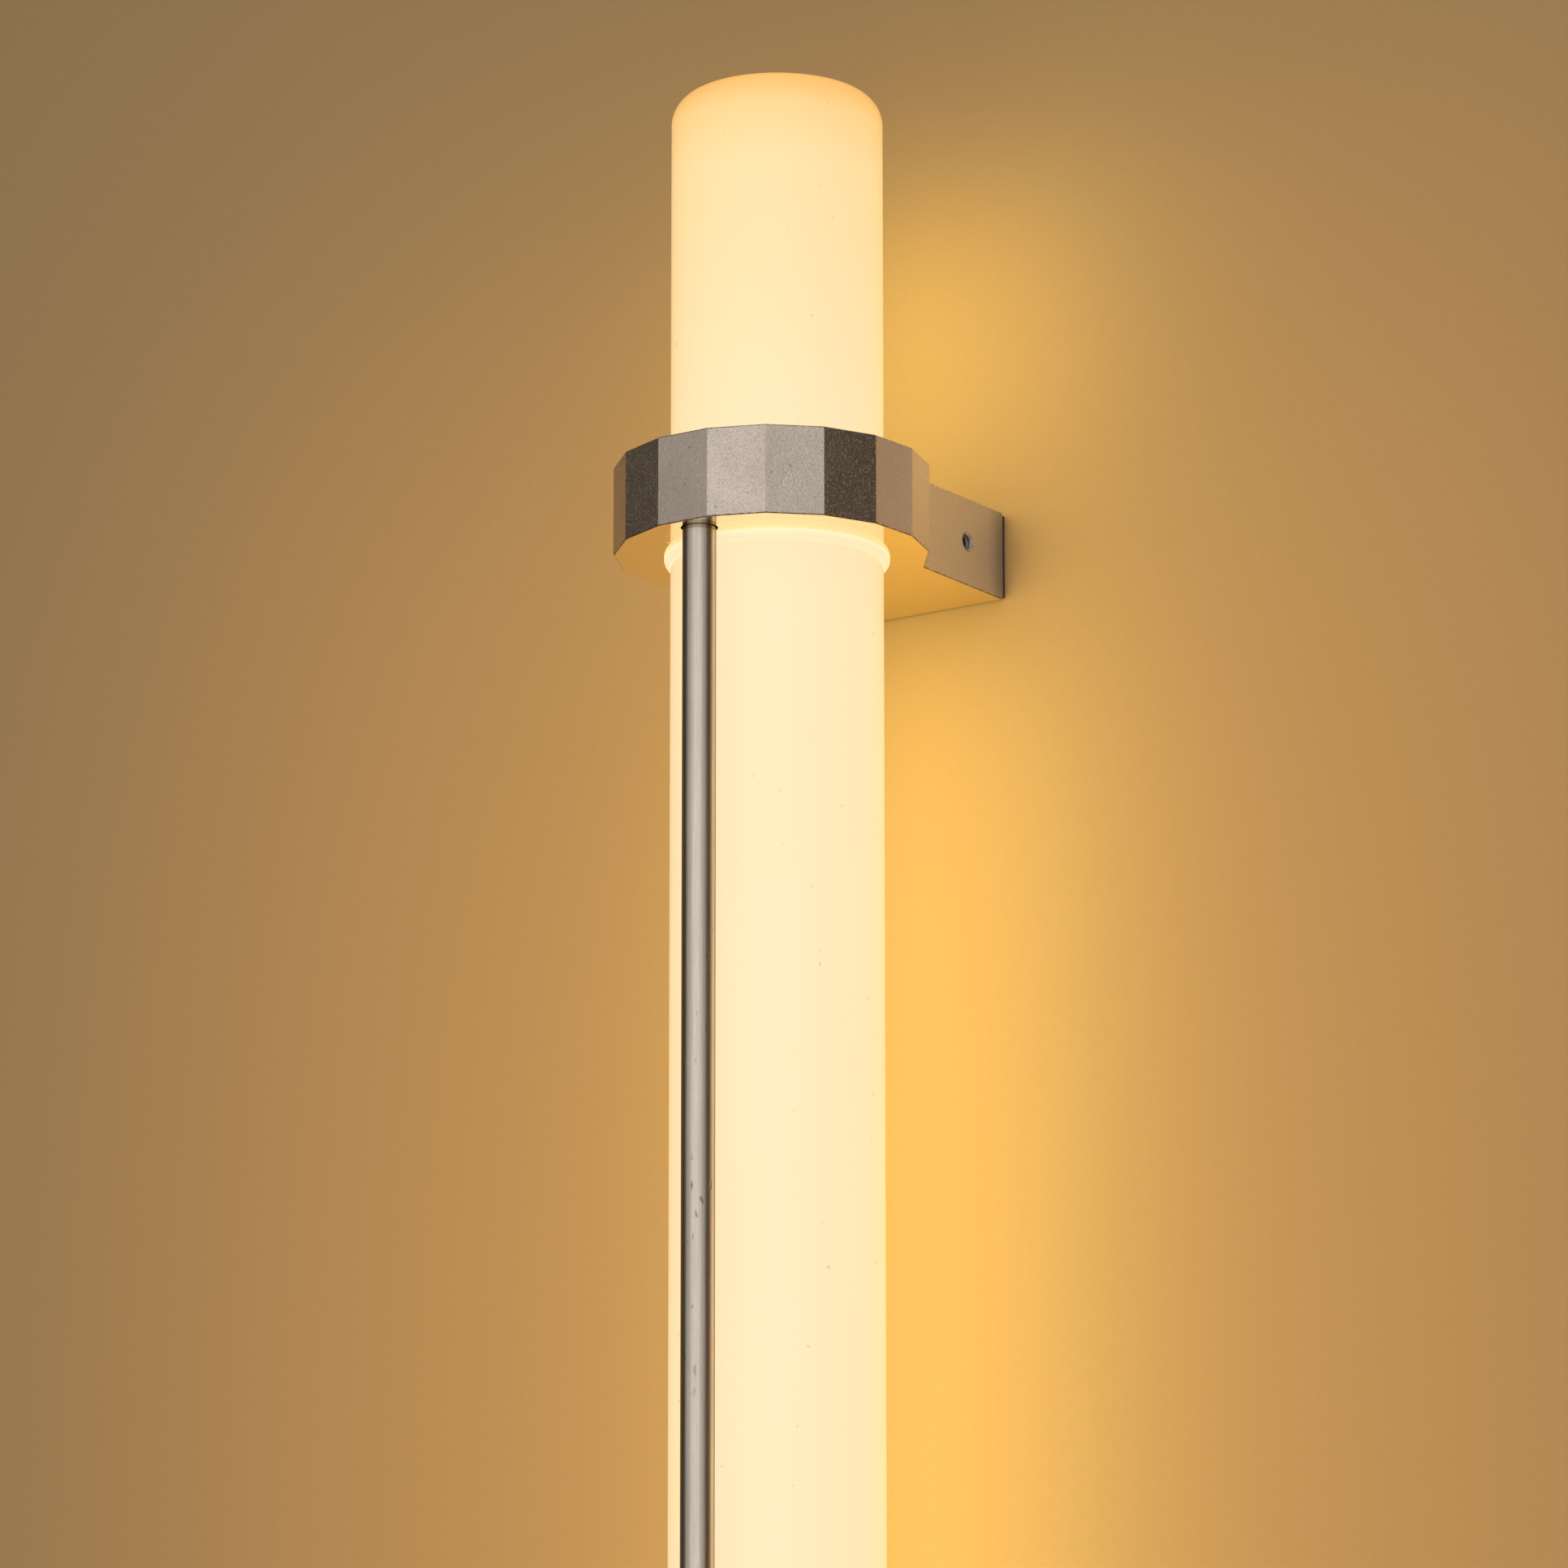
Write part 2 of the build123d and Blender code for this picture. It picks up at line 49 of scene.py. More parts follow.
# places that several pieces share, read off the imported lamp
tubeLow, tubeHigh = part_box("diffuser_tube")
rodLow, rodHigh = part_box("support_rod")
collarLow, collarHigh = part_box("upper_bracket")
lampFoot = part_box("end_cap")[0].z
lampTop = tubeHigh.z
lampMiddle = (lampTop + lampFoot) / 2
halfLamp = (lampTop - lampFoot) / 2
tubeRadius = (tubeHigh.x - tubeLow.x) / 2
tubeY = (tubeHigh.y + tubeLow.y) / 2
rodRadius = (rodHigh.x - rodLow.x) / 2
rodY = (rodHigh.y + rodLow.y) / 2
collarTop = collarHigh.z
collarMiddle = (collarHigh.z + collarLow.z) / 2
fullTurn = 2 * math.pi
mergeDistance = 1e-6
leastArea = 1e-14
onFace = 1e-5  # how near a corner lies to a face that it counts as on
edgeBreak = 0.0002  # the least round on turned pieces


# node tree helpers

def addNode(tree, kind, **settings):
    node = tree.nodes.new(kind)
    for name, value in settings.items():
        setattr(node, name, value)
    return node


def feed(tree, socket, value):
    # a socket takes a link from another socket, or a plain value
    if isinstance(value, bpy.types.NodeSocket):
        tree.links.new(value, socket)
    else:
        socket.default_value = value


def calc(tree, operation, first, second=0.0):
    node = addNode(tree, "ShaderNodeMath", operation=operation)
    feed(tree, node.inputs[0], first)
    feed(tree, node.inputs[1], second)
    return node.outputs[0]


def times(tree, first, second):
    return calc(tree, "MULTIPLY", first, second)


def plus(tree, first, second):
    return calc(tree, "ADD", first, second)


def minus(tree, first, second):
    return calc(tree, "SUBTRACT", first, second)


def ramped(tree, value, low, high, toLow=0.0, toHigh=1.0, smooth=True):
    node = addNode(tree, "ShaderNodeMapRange", clamp=True)
    node.interpolation_type = "SMOOTHSTEP" if smooth else "LINEAR"
    feed(tree, node.inputs["Value"], value)
    node.inputs["From Min"].default_value = low
    node.inputs["From Max"].default_value = high
    feed(tree, node.inputs["To Min"], toLow)
    feed(tree, node.inputs["To Max"], toHigh)
    return node.outputs["Result"]


def mixed(tree, share, first, second):
    node = addNode(tree, "ShaderNodeMix", data_type="RGBA")
    feed(tree, node.inputs["Factor"], share)
    feed(tree, node.inputs["A"], first)
    feed(tree, node.inputs["B"], second)
    return node.outputs["Result"]


def blended(tree, first, second, share):
    # this share of the first, the rest of the second
    return plus(tree, times(tree, first, share), times(tree, second, 1 - share))


def rgba(colour):
    return (*colour, 1.0)


black = rgba((0.0, 0.0, 0.0))
softRamp = (0.3, 0.7)  # most of what a noise gives lies between these


def parted(tree, vector):
    node = addNode(tree, "ShaderNodeSeparateXYZ")
    tree.links.new(vector, node.inputs[0])
    return node.outputs


def stretched(tree, vector, scale, centre=(0.0, 0.0, 0.0)):
    # the pattern's coordinates: moved to centre, then scaled per axis
    moved = addNode(tree, "ShaderNodeVectorMath", operation="SUBTRACT")
    feed(tree, moved.inputs[0], vector)
    moved.inputs[1].default_value = centre
    scaled = addNode(tree, "ShaderNodeVectorMath", operation="MULTIPLY")
    tree.links.new(moved.outputs[0], scaled.inputs[0])
    scaled.inputs[1].default_value = scale
    return scaled.outputs[0]


def noise(tree, vector, scale, detail=2.0, roughness=0.5, distortion=0.0):
    node = addNode(tree, "ShaderNodeTexNoise")
    feed(tree, node.inputs["Vector"], vector)
    feed(tree, node.inputs["Scale"], scale)
    node.inputs["Detail"].default_value = detail
    node.inputs["Roughness"].default_value = roughness
    node.inputs["Distortion"].default_value = distortion
    return node.outputs["Fac"]


def newGroup(name, inputs, outputs):
    tree = bpy.data.node_groups.new(name, "ShaderNodeTree")
    for label, kind in inputs.items():
        tree.interface.new_socket(name=label, in_out="INPUT", socket_type="NodeSocket" + kind)
    for label, kind in outputs.items():
        tree.interface.new_socket(name=label, in_out="OUTPUT", socket_type="NodeSocket" + kind)
    return tree, addNode(tree, "NodeGroupInput"), addNode(tree, "NodeGroupOutput")


def placeGroup(tree, group, **values):
    node = addNode(tree, "ShaderNodeGroup", node_tree=group)
    for name, value in values.items():
        feed(tree, node.inputs[name], value)
    return node


# effects shared by several finishes

grainValues = {"finer": 2.7, "coarseShare": 0.6, "ramp": (0.32, 0.68)}


def buildGrain():
    # blasted or cast grain: paler and darker flecks, and the height that goes with them
    values = grainValues
    tree, given, result = newGroup(
        "grain", {"Place": "Vector", "Scale": "Float"}, {"Fleck": "Float", "Height": "Float"}
    )
    place, scale = given.outputs["Place"], given.outputs["Scale"]
    coarse = noise(tree, place, scale, detail=3.0, roughness=0.65)
    fine = noise(tree, place, times(tree, scale, values["finer"]), detail=2.0, roughness=0.6)
    both = blended(tree, coarse, fine, values["coarseShare"])
    tree.links.new(ramped(tree, both, *values["ramp"]), result.inputs["Fleck"])
    tree.links.new(both, result.inputs["Height"])
    return tree


brushingValues = {"finer": 3.3, "wideShare": 0.45, "ramp": softRamp}


def buildBrushing():
    # lines drawn out along the piece: Place is already squeezed along the brushing
    values = brushingValues
    tree, given, result = newGroup(
        "brushing", {"Place": "Vector", "Scale": "Float"}, {"Streak": "Float", "Height": "Float"}
    )
    place, scale = given.outputs["Place"], given.outputs["Scale"]
    wide = noise(tree, place, scale, detail=2.0, roughness=0.5)
    narrow = noise(tree, place, times(tree, scale, values["finer"]), detail=3.0, roughness=0.6)
    both = blended(tree, wide, narrow, values["wideShare"])
    tree.links.new(ramped(tree, both, *values["ramp"]), result.inputs["Streak"])
    tree.links.new(both, result.inputs["Height"])
    return tree


handlingValues = {
    "patchRamp": (0.35, 0.7),
    "nickRamp": (0.66, 0.72),
    "spreadScale": 0.13,  # of the nicks' scale: the pattern of where they come at all
    "spreadRamp": (0.55, 0.62),
}


def buildHandling():
    # large soft patches left by hands and wiping, and small sharp nicks
    values = handlingValues
    tree, given, result = newGroup(
        "handling",
        {"Place": "Vector", "Patch Scale": "Float", "Nick Scale": "Float"},
        {"Patch": "Float", "Nick": "Float"},
    )
    place, nickScale = given.outputs["Place"], given.outputs["Nick Scale"]
    patch = noise(
        tree, place, given.outputs["Patch Scale"], detail=4.0, roughness=0.55, distortion=0.6
    )
    tree.links.new(ramped(tree, patch, *values["patchRamp"]), result.inputs["Patch"])
    nick = noise(tree, place, nickScale, detail=1.0, roughness=0.3)
    spreadScale = times(tree, nickScale, values["spreadScale"])
    spread = noise(tree, place, spreadScale, detail=1.0, roughness=0.5)
    sharp = ramped(tree, nick, *values["nickRamp"])
    deep = times(tree, sharp, ramped(tree, spread, *values["spreadRamp"]))
    tree.links.new(deep, result.inputs["Nick"])
    return tree


grain = buildGrain()
brushing = buildBrushing()
handling = buildHandling()


def newMaterial(name):
    material = bpy.data.materials.new(name)
    material.use_nodes = True
    tree = material.node_tree
    shader = tree.nodes["Principled BSDF"]
    place = addNode(tree, "ShaderNodeTexCoord").outputs["Object"]
    return material, tree, shader, place


def placeMarks(tree, place, values):
    scales = {"Patch Scale": values["patchScale"], "Nick Scale": values["nickScale"]}
    return placeGroup(tree, handling, Place=place, **scales)


def addBump(tree, shader, height, strength, distance):
    bump = addNode(tree, "ShaderNodeBump")
    bump.inputs["Strength"].default_value = strength
    bump.inputs["Distance"].default_value = distance
    tree.links.new(height, bump.inputs["Height"])
    tree.links.new(bump.outputs["Normal"], shader.inputs["Normal"])


def fromLampMiddle(tree, place):
    # height away from the middle of the lamp, which is the same above and below
    return calc(tree, "ABSOLUTE", minus(tree, parted(tree, place)["Z"], lampMiddle))


def heightFromCollar(tree, place):
    # height above the middle of the nearer collar, counted outwards
    return minus(tree, fromLampMiddle(tree, place), collarMiddle - lampMiddle)


def belowSeat(tree, place):
    # distance from the face that the tube and the rod leave by, towards the middle of the lamp
    return minus(tree, collarMiddle - collarTop, heightFromCollar(tree, place))


# metal finishes

facetedMetal = {
    "colour": (0.775, 0.692, 0.622),
    "darkFleck": (0.40, 0.345, 0.30),
    "fleckShare": 0.62,
    "grainScale": 1500.0,
    "speckScale": 700.0,
    "speckRamp": (0.80, 0.86),
    "speckShare": 0.5,
    "patchScale": 38.0,
    "patchShare": 0.22,
    "patchRoughness": 0.07,  # added where hands have been
    "facetRoughness": 0.30,
    "paleScale": 1500.0,
    "paleRamp": (0.6, 0.68),
    "paleDullness": 0.22,  # how far the pale flecks are from metal
    "mirrorColour": (1.0, 0.885, 0.59),  # the polished top and underside
    "mirrorRoughness": 0.07,
    "mirrorSlope": (0.93, 0.97),  # height of the normal where the polish starts and is whole
    "strokeScale": 800.0,
    "strokeStretch": (1.0, 1.0, 0.6),
    "strokeHeight": 0.45,
    "pitScale": 2300.0,
    "pitRamp": (0.66, 0.74),
    "pitDepth": 0.8,
    "nickScale": 420.0,
    "nickDepth": 0.5,
    "bump": (0.55, 0.00018),  # strength, distance
}
darkRim = {
    # along the top and foot of the upright faces
    "colour": (0.16, 0.12, 0.09),
    "ramp": (0.0005, 0.0001),  # from the rim's edge: where it starts and is whole
    "wander": 0.0014,
    "wanderScale": 700.0,
    "share": 0.85,
}
satinSides = {
    # the facets next to the arm and the arm's own sides; places are along Y
    "ramp": (-0.1015, -0.1011),
    "colour": (0.98, 0.965, 1.0),
    "roughness": 0.32,
    "metal": 0.79,
    "streakShare": 0.10,
    "fleckShare": 0.30,
    "brushScale": 1300.0,
    "brushStretch": (1.0, 1.0, 0.14),
    # painted shade: the first facet darker, the arm a little darker, and darker still along the arm to the wall
    "firstFacet": (-0.0834, -0.0814, 0.835),  # from, to, and the share of the colour before it
    "armStart": (-0.0635, -0.0605, 0.955),  # from, to, and the share after it
    "alongArm": (-0.058, -0.012, 0.73),
    "atWall": (-0.012, -0.0015, 0.62),
}


def paintedSideShade(tree, y):
    # painted shade: how much of the sides' colour is left, with the first facet darker and the sides darker and
    # darker on the way back to the wall
    start, end, share = satinSides["firstFacet"]
    shade = ramped(tree, y, start, end, share, 1.0)
    start, end, share = satinSides["armStart"]
    shade = times(tree, shade, ramped(tree, y, start, end, 1.0, share))
    start, end, share = satinSides["alongArm"]
    shade = times(tree, shade, ramped(tree, y, start, end, 1.0, share, smooth=False))
    start, end, share = satinSides["atWall"]
    return times(tree, shade, ramped(tree, y, start, end, 1.0, share))


def satinColourAndShade(tree, place, y, fleck):
    values, darker = satinSides, rgba(facetedMetal["darkFleck"])
    upright = stretched(tree, place, values["brushStretch"])
    lines = placeGroup(tree, brushing, Place=upright, Scale=values["brushScale"])
    streaks = times(tree, lines.outputs["Streak"], values["streakShare"])
    marked = plus(tree, streaks, times(tree, fleck, values["fleckShare"]))
    colour = mixed(tree, marked, rgba(values["colour"]), darker)
    return mixed(tree, paintedSideShade(tree, y), black, colour)


def rimMask(tree, place, upright):
    values = darkRim
    height = calc(tree, "ABSOLUTE", heightFromCollar(tree, place))
    fromRim = minus(tree, collarTop - collarMiddle, height)
    uneven = noise(tree, place, values["wanderScale"], detail=3.0, roughness=0.75)
    wander = times(tree, minus(tree, uneven, 0.5), values["wander"])
    mask = ramped(tree, plus(tree, fromRim, wander), *values["ramp"])
    return times(tree, times(tree, mask, upright), values["share"])


def bracketMaterial():
    values = facetedMetal
    material, tree, shader, place = newMaterial("bracket_metal")
    geometry = addNode(tree, "ShaderNodeNewGeometry")
    upwards = calc(tree, "ABSOLUTE", parted(tree, geometry.outputs["True Normal"])["Z"])
    flat = ramped(tree, upwards, *values["mirrorSlope"])
    upright = minus(tree, 1.0, flat)
    y = parted(tree, place)["Y"]
    satin = times(tree, ramped(tree, y, *satinSides["ramp"]), upright)

    flecks = placeGroup(tree, grain, Place=place, Scale=values["grainScale"])
    fleck = flecks.outputs["Fleck"]
    marks = placeMarks(tree, place, values)
    patch = marks.outputs["Patch"]
    darker, rimColour = rgba(values["darkFleck"]), rgba(darkRim["colour"])
    colour = mixed(tree, times(tree, fleck, values["fleckShare"]), rgba(values["colour"]), darker)
    specks = noise(tree, place, values["speckScale"], detail=0.0, roughness=0.0)
    specks = ramped(tree, specks, *values["speckRamp"])
    colour = mixed(tree, times(tree, specks, values["speckShare"]), colour, rimColour)
    colour = mixed(tree, times(tree, patch, values["patchShare"]), colour, darker)
    # the satin sides, darkened by painted shade towards the wall
    colour = mixed(tree, satin, colour, satinColourAndShade(tree, place, y, fleck))
    colour = mixed(tree, flat, colour, rgba(values["mirrorColour"]))
    colour = mixed(tree, rimMask(tree, place, upright), colour, rimColour)
    tree.links.new(colour, shader.inputs["Base Color"])

    smoothest = values["facetRoughness"]
    rough = ramped(tree, patch, 0.0, 1.0, smoothest, smoothest + values["patchRoughness"])
    rough = ramped(tree, satin, 0.0, 1.0, rough, satinSides["roughness"], smooth=False)
    rough = ramped(tree, flat, 0.0, 1.0, rough, values["mirrorRoughness"], smooth=False)
    tree.links.new(rough, shader.inputs["Roughness"])

    pale = noise(tree, place, values["paleScale"], detail=1.0, roughness=0.5)
    pale = ramped(tree, pale, *values["paleRamp"])
    metal = minus(tree, 1.0, times(tree, pale, values["paleDullness"]))
    metal = calc(tree, "MAXIMUM", metal, flat)
    metal = ramped(tree, satin, 0.0, 1.0, metal, satinSides["metal"], smooth=False)
    tree.links.new(metal, shader.inputs["Metallic"])

    along = stretched(tree, place, values["strokeStretch"])
    strokes = noise(tree, along, values["strokeScale"], detail=1.0, distortion=1.8)
    pits = noise(tree, place, values["pitScale"], detail=1.0, roughness=0.4)
    pits = ramped(tree, pits, *values["pitRamp"])
    level = plus(tree, flecks.outputs["Height"], times(tree, strokes, values["strokeHeight"]))
    level = minus(tree, level, times(tree, pits, values["pitDepth"]))
    level = times(tree, level, upright)
    level = minus(tree, level, times(tree, marks.outputs["Nick"], values["nickDepth"]))
    addBump(tree, shader, level, *values["bump"])
    return material


rodMetal = {
    "colour": (0.83, 0.755, 0.68),
    "streakColour": (0.46, 0.41, 0.37),
    "streakShare": 0.42,
    "streakRoughness": 0.09,
    "lineScale": 1700.0,
    "lineStretch": 0.012,
    "patchScale": 30.0,
    "patchStretch": 0.35,
    "patchShare": 0.2,
    "grainScale": 1400.0,
    "fleckShare": 0.28,
    "nickScale": 650.0,
    "nickColour": (0.25, 0.2, 0.17),
    "nickShare": 0.7,
    "nickDepth": 1.2,
    "seatShadeColour": (0.30, 0.26, 0.23),  # painted shade: a dark ring on the rod where it enters each collar, standing in for the shade the collar casts on it
    "seatShadeShare": 0.75,
    "seatShadeLength": 0.0014,
    "seatShadeWander": 0.0003,
    "roughness": 0.27,
    # painted shade: a dark tint on the rod's reflections where it is seen edge on, darkening both its sides
    "edgeShadeTint": (0.35, 0.31, 0.27),
    "edgeOn": (0.3, 0.8),  # facing where the rod starts to be seen edge on, and wholly is
    "edgeGloss": 0.3,  # share of the roughness left there
    "bump": (0.5, 0.00006),
}


def rodMaterial():
    values, axis = rodMetal, (0.0, rodY, 0.0)
    material, tree, shader, place = newMaterial("rod_steel")
    along = stretched(tree, place, (1.0, 1.0, values["lineStretch"]), axis)
    lines = placeGroup(tree, brushing, Place=along, Scale=values["lineScale"])
    streak = lines.outputs["Streak"]
    wiped = stretched(tree, place, (1.0, 1.0, values["patchStretch"]), axis)
    marks = placeMarks(tree, wiped, values)
    flecks = placeGroup(tree, grain, Place=place, Scale=values["grainScale"])
    # painted shade: the dark ring just below each collar, its edge wandering with the streaks
    fromSeat = plus(tree, belowSeat(tree, place), times(tree, streak, values["seatShadeWander"]))
    seatShadeEnd = values["seatShadeLength"]
    seatShade = ramped(tree, fromSeat, seatShadeEnd + values["seatShadeWander"], seatShadeEnd)

    colour = rgba(values["colour"])
    for share, amount, marked in (
        (streak, "streakShare", "streakColour"),
        (marks.outputs["Patch"], "patchShare", "streakColour"),
        (flecks.outputs["Fleck"], "fleckShare", "streakColour"),
        (marks.outputs["Nick"], "nickShare", "nickColour"),
        (seatShade, "seatShadeShare", "seatShadeColour"),
    ):
        colour = mixed(tree, times(tree, share, values[amount]), colour, rgba(values[marked]))
    tree.links.new(colour, shader.inputs["Base Color"])

    smoothest = values["roughness"]
    rough = ramped(tree, streak, 0.0, 1.0, smoothest, smoothest + values["streakRoughness"])
    facing = addNode(tree, "ShaderNodeLayerWeight").outputs["Facing"]
    gloss = ramped(tree, facing, *values["edgeOn"], 1.0, values["edgeGloss"])
    tree.links.new(times(tree, rough, gloss), shader.inputs["Roughness"])
    shader.inputs["Metallic"].default_value = 1.0
    # painted shade along the rod's sides, from the dark edge tint
    shader.inputs["Specular Tint"].default_value = rgba(values["edgeShadeTint"])
    nicks = times(tree, marks.outputs["Nick"], values["nickDepth"])
    addBump(tree, shader, minus(tree, lines.outputs["Height"], nicks), *values["bump"])
    return material


metalSurface = {
    "stretch": (1.0, 1.0, 0.05),
    "lineScale": 1500.0,
    "streakShare": 0.35,
    "grainScale": 2500.0,
    "fleckShare": 0.25,
    "patchScale": 60.0,
    "patchRoughness": 0.12,
    "nickScale": 500.0,
    "bump": (0.3, 0.00008),
}


def plainMetal(name, colour, darker, roughness, stretch=metalSurface["stretch"]):
    # sheet, screws and the spine: one recipe, each with its own colours
    values = metalSurface
    material, tree, shader, place = newMaterial(name)
    along = stretched(tree, place, stretch)
    lines = placeGroup(tree, brushing, Place=along, Scale=values["lineScale"])
    flecks = placeGroup(tree, grain, Place=place, Scale=values["grainScale"])
    marks = placeMarks(tree, place, values)
    streakShare = times(tree, lines.outputs["Streak"], values["streakShare"])
    fleckShare = times(tree, flecks.outputs["Fleck"], values["fleckShare"])
    tone = mixed(tree, streakShare, rgba(colour), rgba(darker))
    tone = mixed(tree, fleckShare, tone, rgba(darker))
    tree.links.new(tone, shader.inputs["Base Color"])
    roughest = roughness + values["patchRoughness"]
    rough = ramped(tree, marks.outputs["Patch"], 0.0, 1.0, roughness, roughest)
    tree.links.new(rough, shader.inputs["Roughness"])
    shader.inputs["Metallic"].default_value = 1.0
    level = minus(tree, lines.outputs["Height"], marks.outputs["Nick"])
    addBump(tree, shader, level, *values["bump"])
    return material


# plastics and rubber

plasticSurface = {
    "grainScale": 2200.0,
    "fleckShare": 0.3,
    "patchScale": 45.0,
    "patchShare": 0.3,
    "patchRoughness": 0.12,
    "nickScale": 700.0,
    "bumpDistance": 0.00006,
}


def plainPlastic(name, colour, darker, roughness, bump):
    values = plasticSurface
    material, tree, shader, place = newMaterial(name)
    flecks = placeGroup(tree, grain, Place=place, Scale=values["grainScale"])
    patch = placeMarks(tree, place, values).outputs["Patch"]
    fleckShare = times(tree, flecks.outputs["Fleck"], values["fleckShare"])
    tone = mixed(tree, fleckShare, rgba(colour), rgba(darker))
    tone = mixed(tree, times(tree, patch, values["patchShare"]), tone, rgba(darker))
    tree.links.new(tone, shader.inputs["Base Color"])
    rough = ramped(tree, patch, 0.0, 1.0, roughness, roughness + values["patchRoughness"])
    tree.links.new(rough, shader.inputs["Roughness"])
    addBump(tree, shader, flecks.outputs["Height"], bump, values["bumpDistance"])
    return material


# the lit tube

litOpal = {
    "glow": (0.97, 0.76, 0.57),  # along the lamp
    "nearEnd": (0.95, 0.69, 0.425),
    "closeToEnd": (0.95, 0.60, 0.28),
    "end": (0.92, 0.475, 0.15),  # on the rounded end, past the light strips
    "fades": (
        # from, to, and the colour reached, counted from the nearer end of the lamp
        (0.003, 0.014, "closeToEnd"),
        (0.008, 0.034, "nearEnd"),
        (0.02, 0.15, "glow"),
    ),
    "cloudScale": 14.0,
    "cloudShare": 0.05,
    "dustScale": 420.0,
    "dustRamp": (0.86, 0.88),
    "dustColour": (0.3, 0.2, 0.1),
    "dustShare": 0.3,
    "body": (0.17, 0.14, 0.10),
    "patchColour": (0.15, 0.12, 0.075),
    "patchScale": 12.0,
    "patchShare": 0.15,
    "patchRoughness": 0.08,
    "nickScale": 300.0,
    "roughness": 0.32,
    "specular": 0.25,
    "specularTint": (1.0, 0.86, 0.6),
    "coatRoughness": 0.25,
    "coatIndex": 1.2,
    "coatTint": (1.0, 0.985, 0.83),  # the skin holds back a little blue, more seen edge on
}


def buildLampGlow():
    # colour of the light that comes through, and the dust that darkens it
    values = litOpal
    tree, given, result = newGroup(
        "lamp glow", {"Place": "Vector"}, {"Color": "Color", "Speck": "Float"}
    )
    place = given.outputs["Place"]
    fromEnd = minus(tree, halfLamp, fromLampMiddle(tree, place))
    colour = rgba(values["end"])
    for start, end, reached in values["fades"]:
        colour = mixed(tree, ramped(tree, fromEnd, start, end), colour, rgba(values[reached]))
    clouds = noise(tree, place, values["cloudScale"], detail=2.0, roughness=0.5)
    cloudShare = ramped(tree, clouds, *softRamp, 0.0, values["cloudShare"])
    colour = mixed(tree, cloudShare, colour, rgba(values["nearEnd"]))
    tree.links.new(colour, result.inputs["Color"])
    dust = noise(tree, place, values["dustScale"], detail=0.0, roughness=0.0)
    tree.links.new(ramped(tree, dust, *values["dustRamp"]), result.inputs["Speck"])
    return tree


lampGlow = buildLampGlow()


def opalMaterial():
    values = litOpal
    material, tree, shader, place = newMaterial("opal_acrylic")
    light = placeGroup(tree, lampGlow, Place=place)
    dustShare = times(tree, light.outputs["Speck"], values["dustShare"])
    colour = mixed(tree, dustShare, light.outputs["Color"], rgba(values["dustColour"]))
    tree.links.new(colour, shader.inputs["Emission Color"])
    shader.inputs["Emission Strength"].default_value = 1.0
    patch = placeMarks(tree, place, values).outputs["Patch"]
    patchShare = times(tree, patch, values["patchShare"])
    body = mixed(tree, patchShare, rgba(values["body"]), rgba(values["patchColour"]))
    tree.links.new(body, shader.inputs["Base Color"])
    smoothest = values["roughness"]
    rough = ramped(tree, patch, 0.0, 1.0, smoothest, smoothest + values["patchRoughness"])
    tree.links.new(rough, shader.inputs["Roughness"])
    shader.inputs["Specular IOR Level"].default_value = values["specular"]
    shader.inputs["Specular Tint"].default_value = rgba(values["specularTint"])
    shader.inputs["Coat Weight"].default_value = 1.0
    shader.inputs["Coat Roughness"].default_value = values["coatRoughness"]
    shader.inputs["Coat IOR"].default_value = values["coatIndex"]
    shader.inputs["Coat Tint"].default_value = rgba(values["coatTint"])
    return material


# painted light: the bead is no lamp; its glow is emission standing in for the tube's light shining through the
# clear silicone, warmer towards the bead's low edge
litSilicone = {
    "body": (0.34, 0.29, 0.2),
    "otherBody": (0.38, 0.31, 0.2),
    "glow": (0.88, 0.79, 0.50),
    "lowGlow": (0.93, 0.675, 0.425),
    "fade": 0.0024,  # down the bead, to its low edge
    "wanderScale": 160.0,
    "wanderRoughness": 0.1,
    "roughness": 0.4,
}


def siliconeMaterial():
    values = litSilicone
    material, tree, shader, place = newMaterial("clear_silicone")
    # painted light: the bead's glow, turning to the warmer colour at its low edge
    fade = ramped(tree, belowSeat(tree, place), 0.0, values["fade"])
    colour = mixed(tree, fade, rgba(values["glow"]), rgba(values["lowGlow"]))
    tree.links.new(colour, shader.inputs["Emission Color"])
    shader.inputs["Emission Strength"].default_value = 1.0
    wander = noise(tree, place, values["wanderScale"], detail=2.0, roughness=0.6)
    body = mixed(tree, wander, rgba(values["body"]), rgba(values["otherBody"]))
    tree.links.new(body, shader.inputs["Base Color"])
    smoothest = values["roughness"]
    rough = ramped(tree, wander, *softRamp, smoothest, smoothest + values["wanderRoughness"])
    tree.links.new(rough, shader.inputs["Roughness"])
    return material


lightLine = {
    # chips under silicone, brighter over each chip
    "halfPitch": 0.0035,
    "chipRamp": (0.001, 0.0025),
    "glow": (1.0, 0.72, 0.25),
    "chipGlow": (1.0, 0.9, 0.6),
    "body": (0.9, 0.6, 0.1),
    "chipBody": (0.95, 0.8, 0.35),
    "roughness": 0.35,
}


def phosphorMaterial():
    values = lightLine
    material, tree, shader, place = newMaterial("phosphor")
    chip = calc(tree, "PINGPONG", parted(tree, place)["Z"], values["halfPitch"])
    chip = ramped(tree, chip, *values["chipRamp"])
    glow = mixed(tree, chip, rgba(values["glow"]), rgba(values["chipGlow"]))
    tree.links.new(glow, shader.inputs["Emission Color"])
    shader.inputs["Emission Strength"].default_value = 1.0
    body = mixed(tree, chip, rgba(values["body"]), rgba(values["chipBody"]))
    tree.links.new(body, shader.inputs["Base Color"])
    shader.inputs["Roughness"].default_value = values["roughness"]
    return material


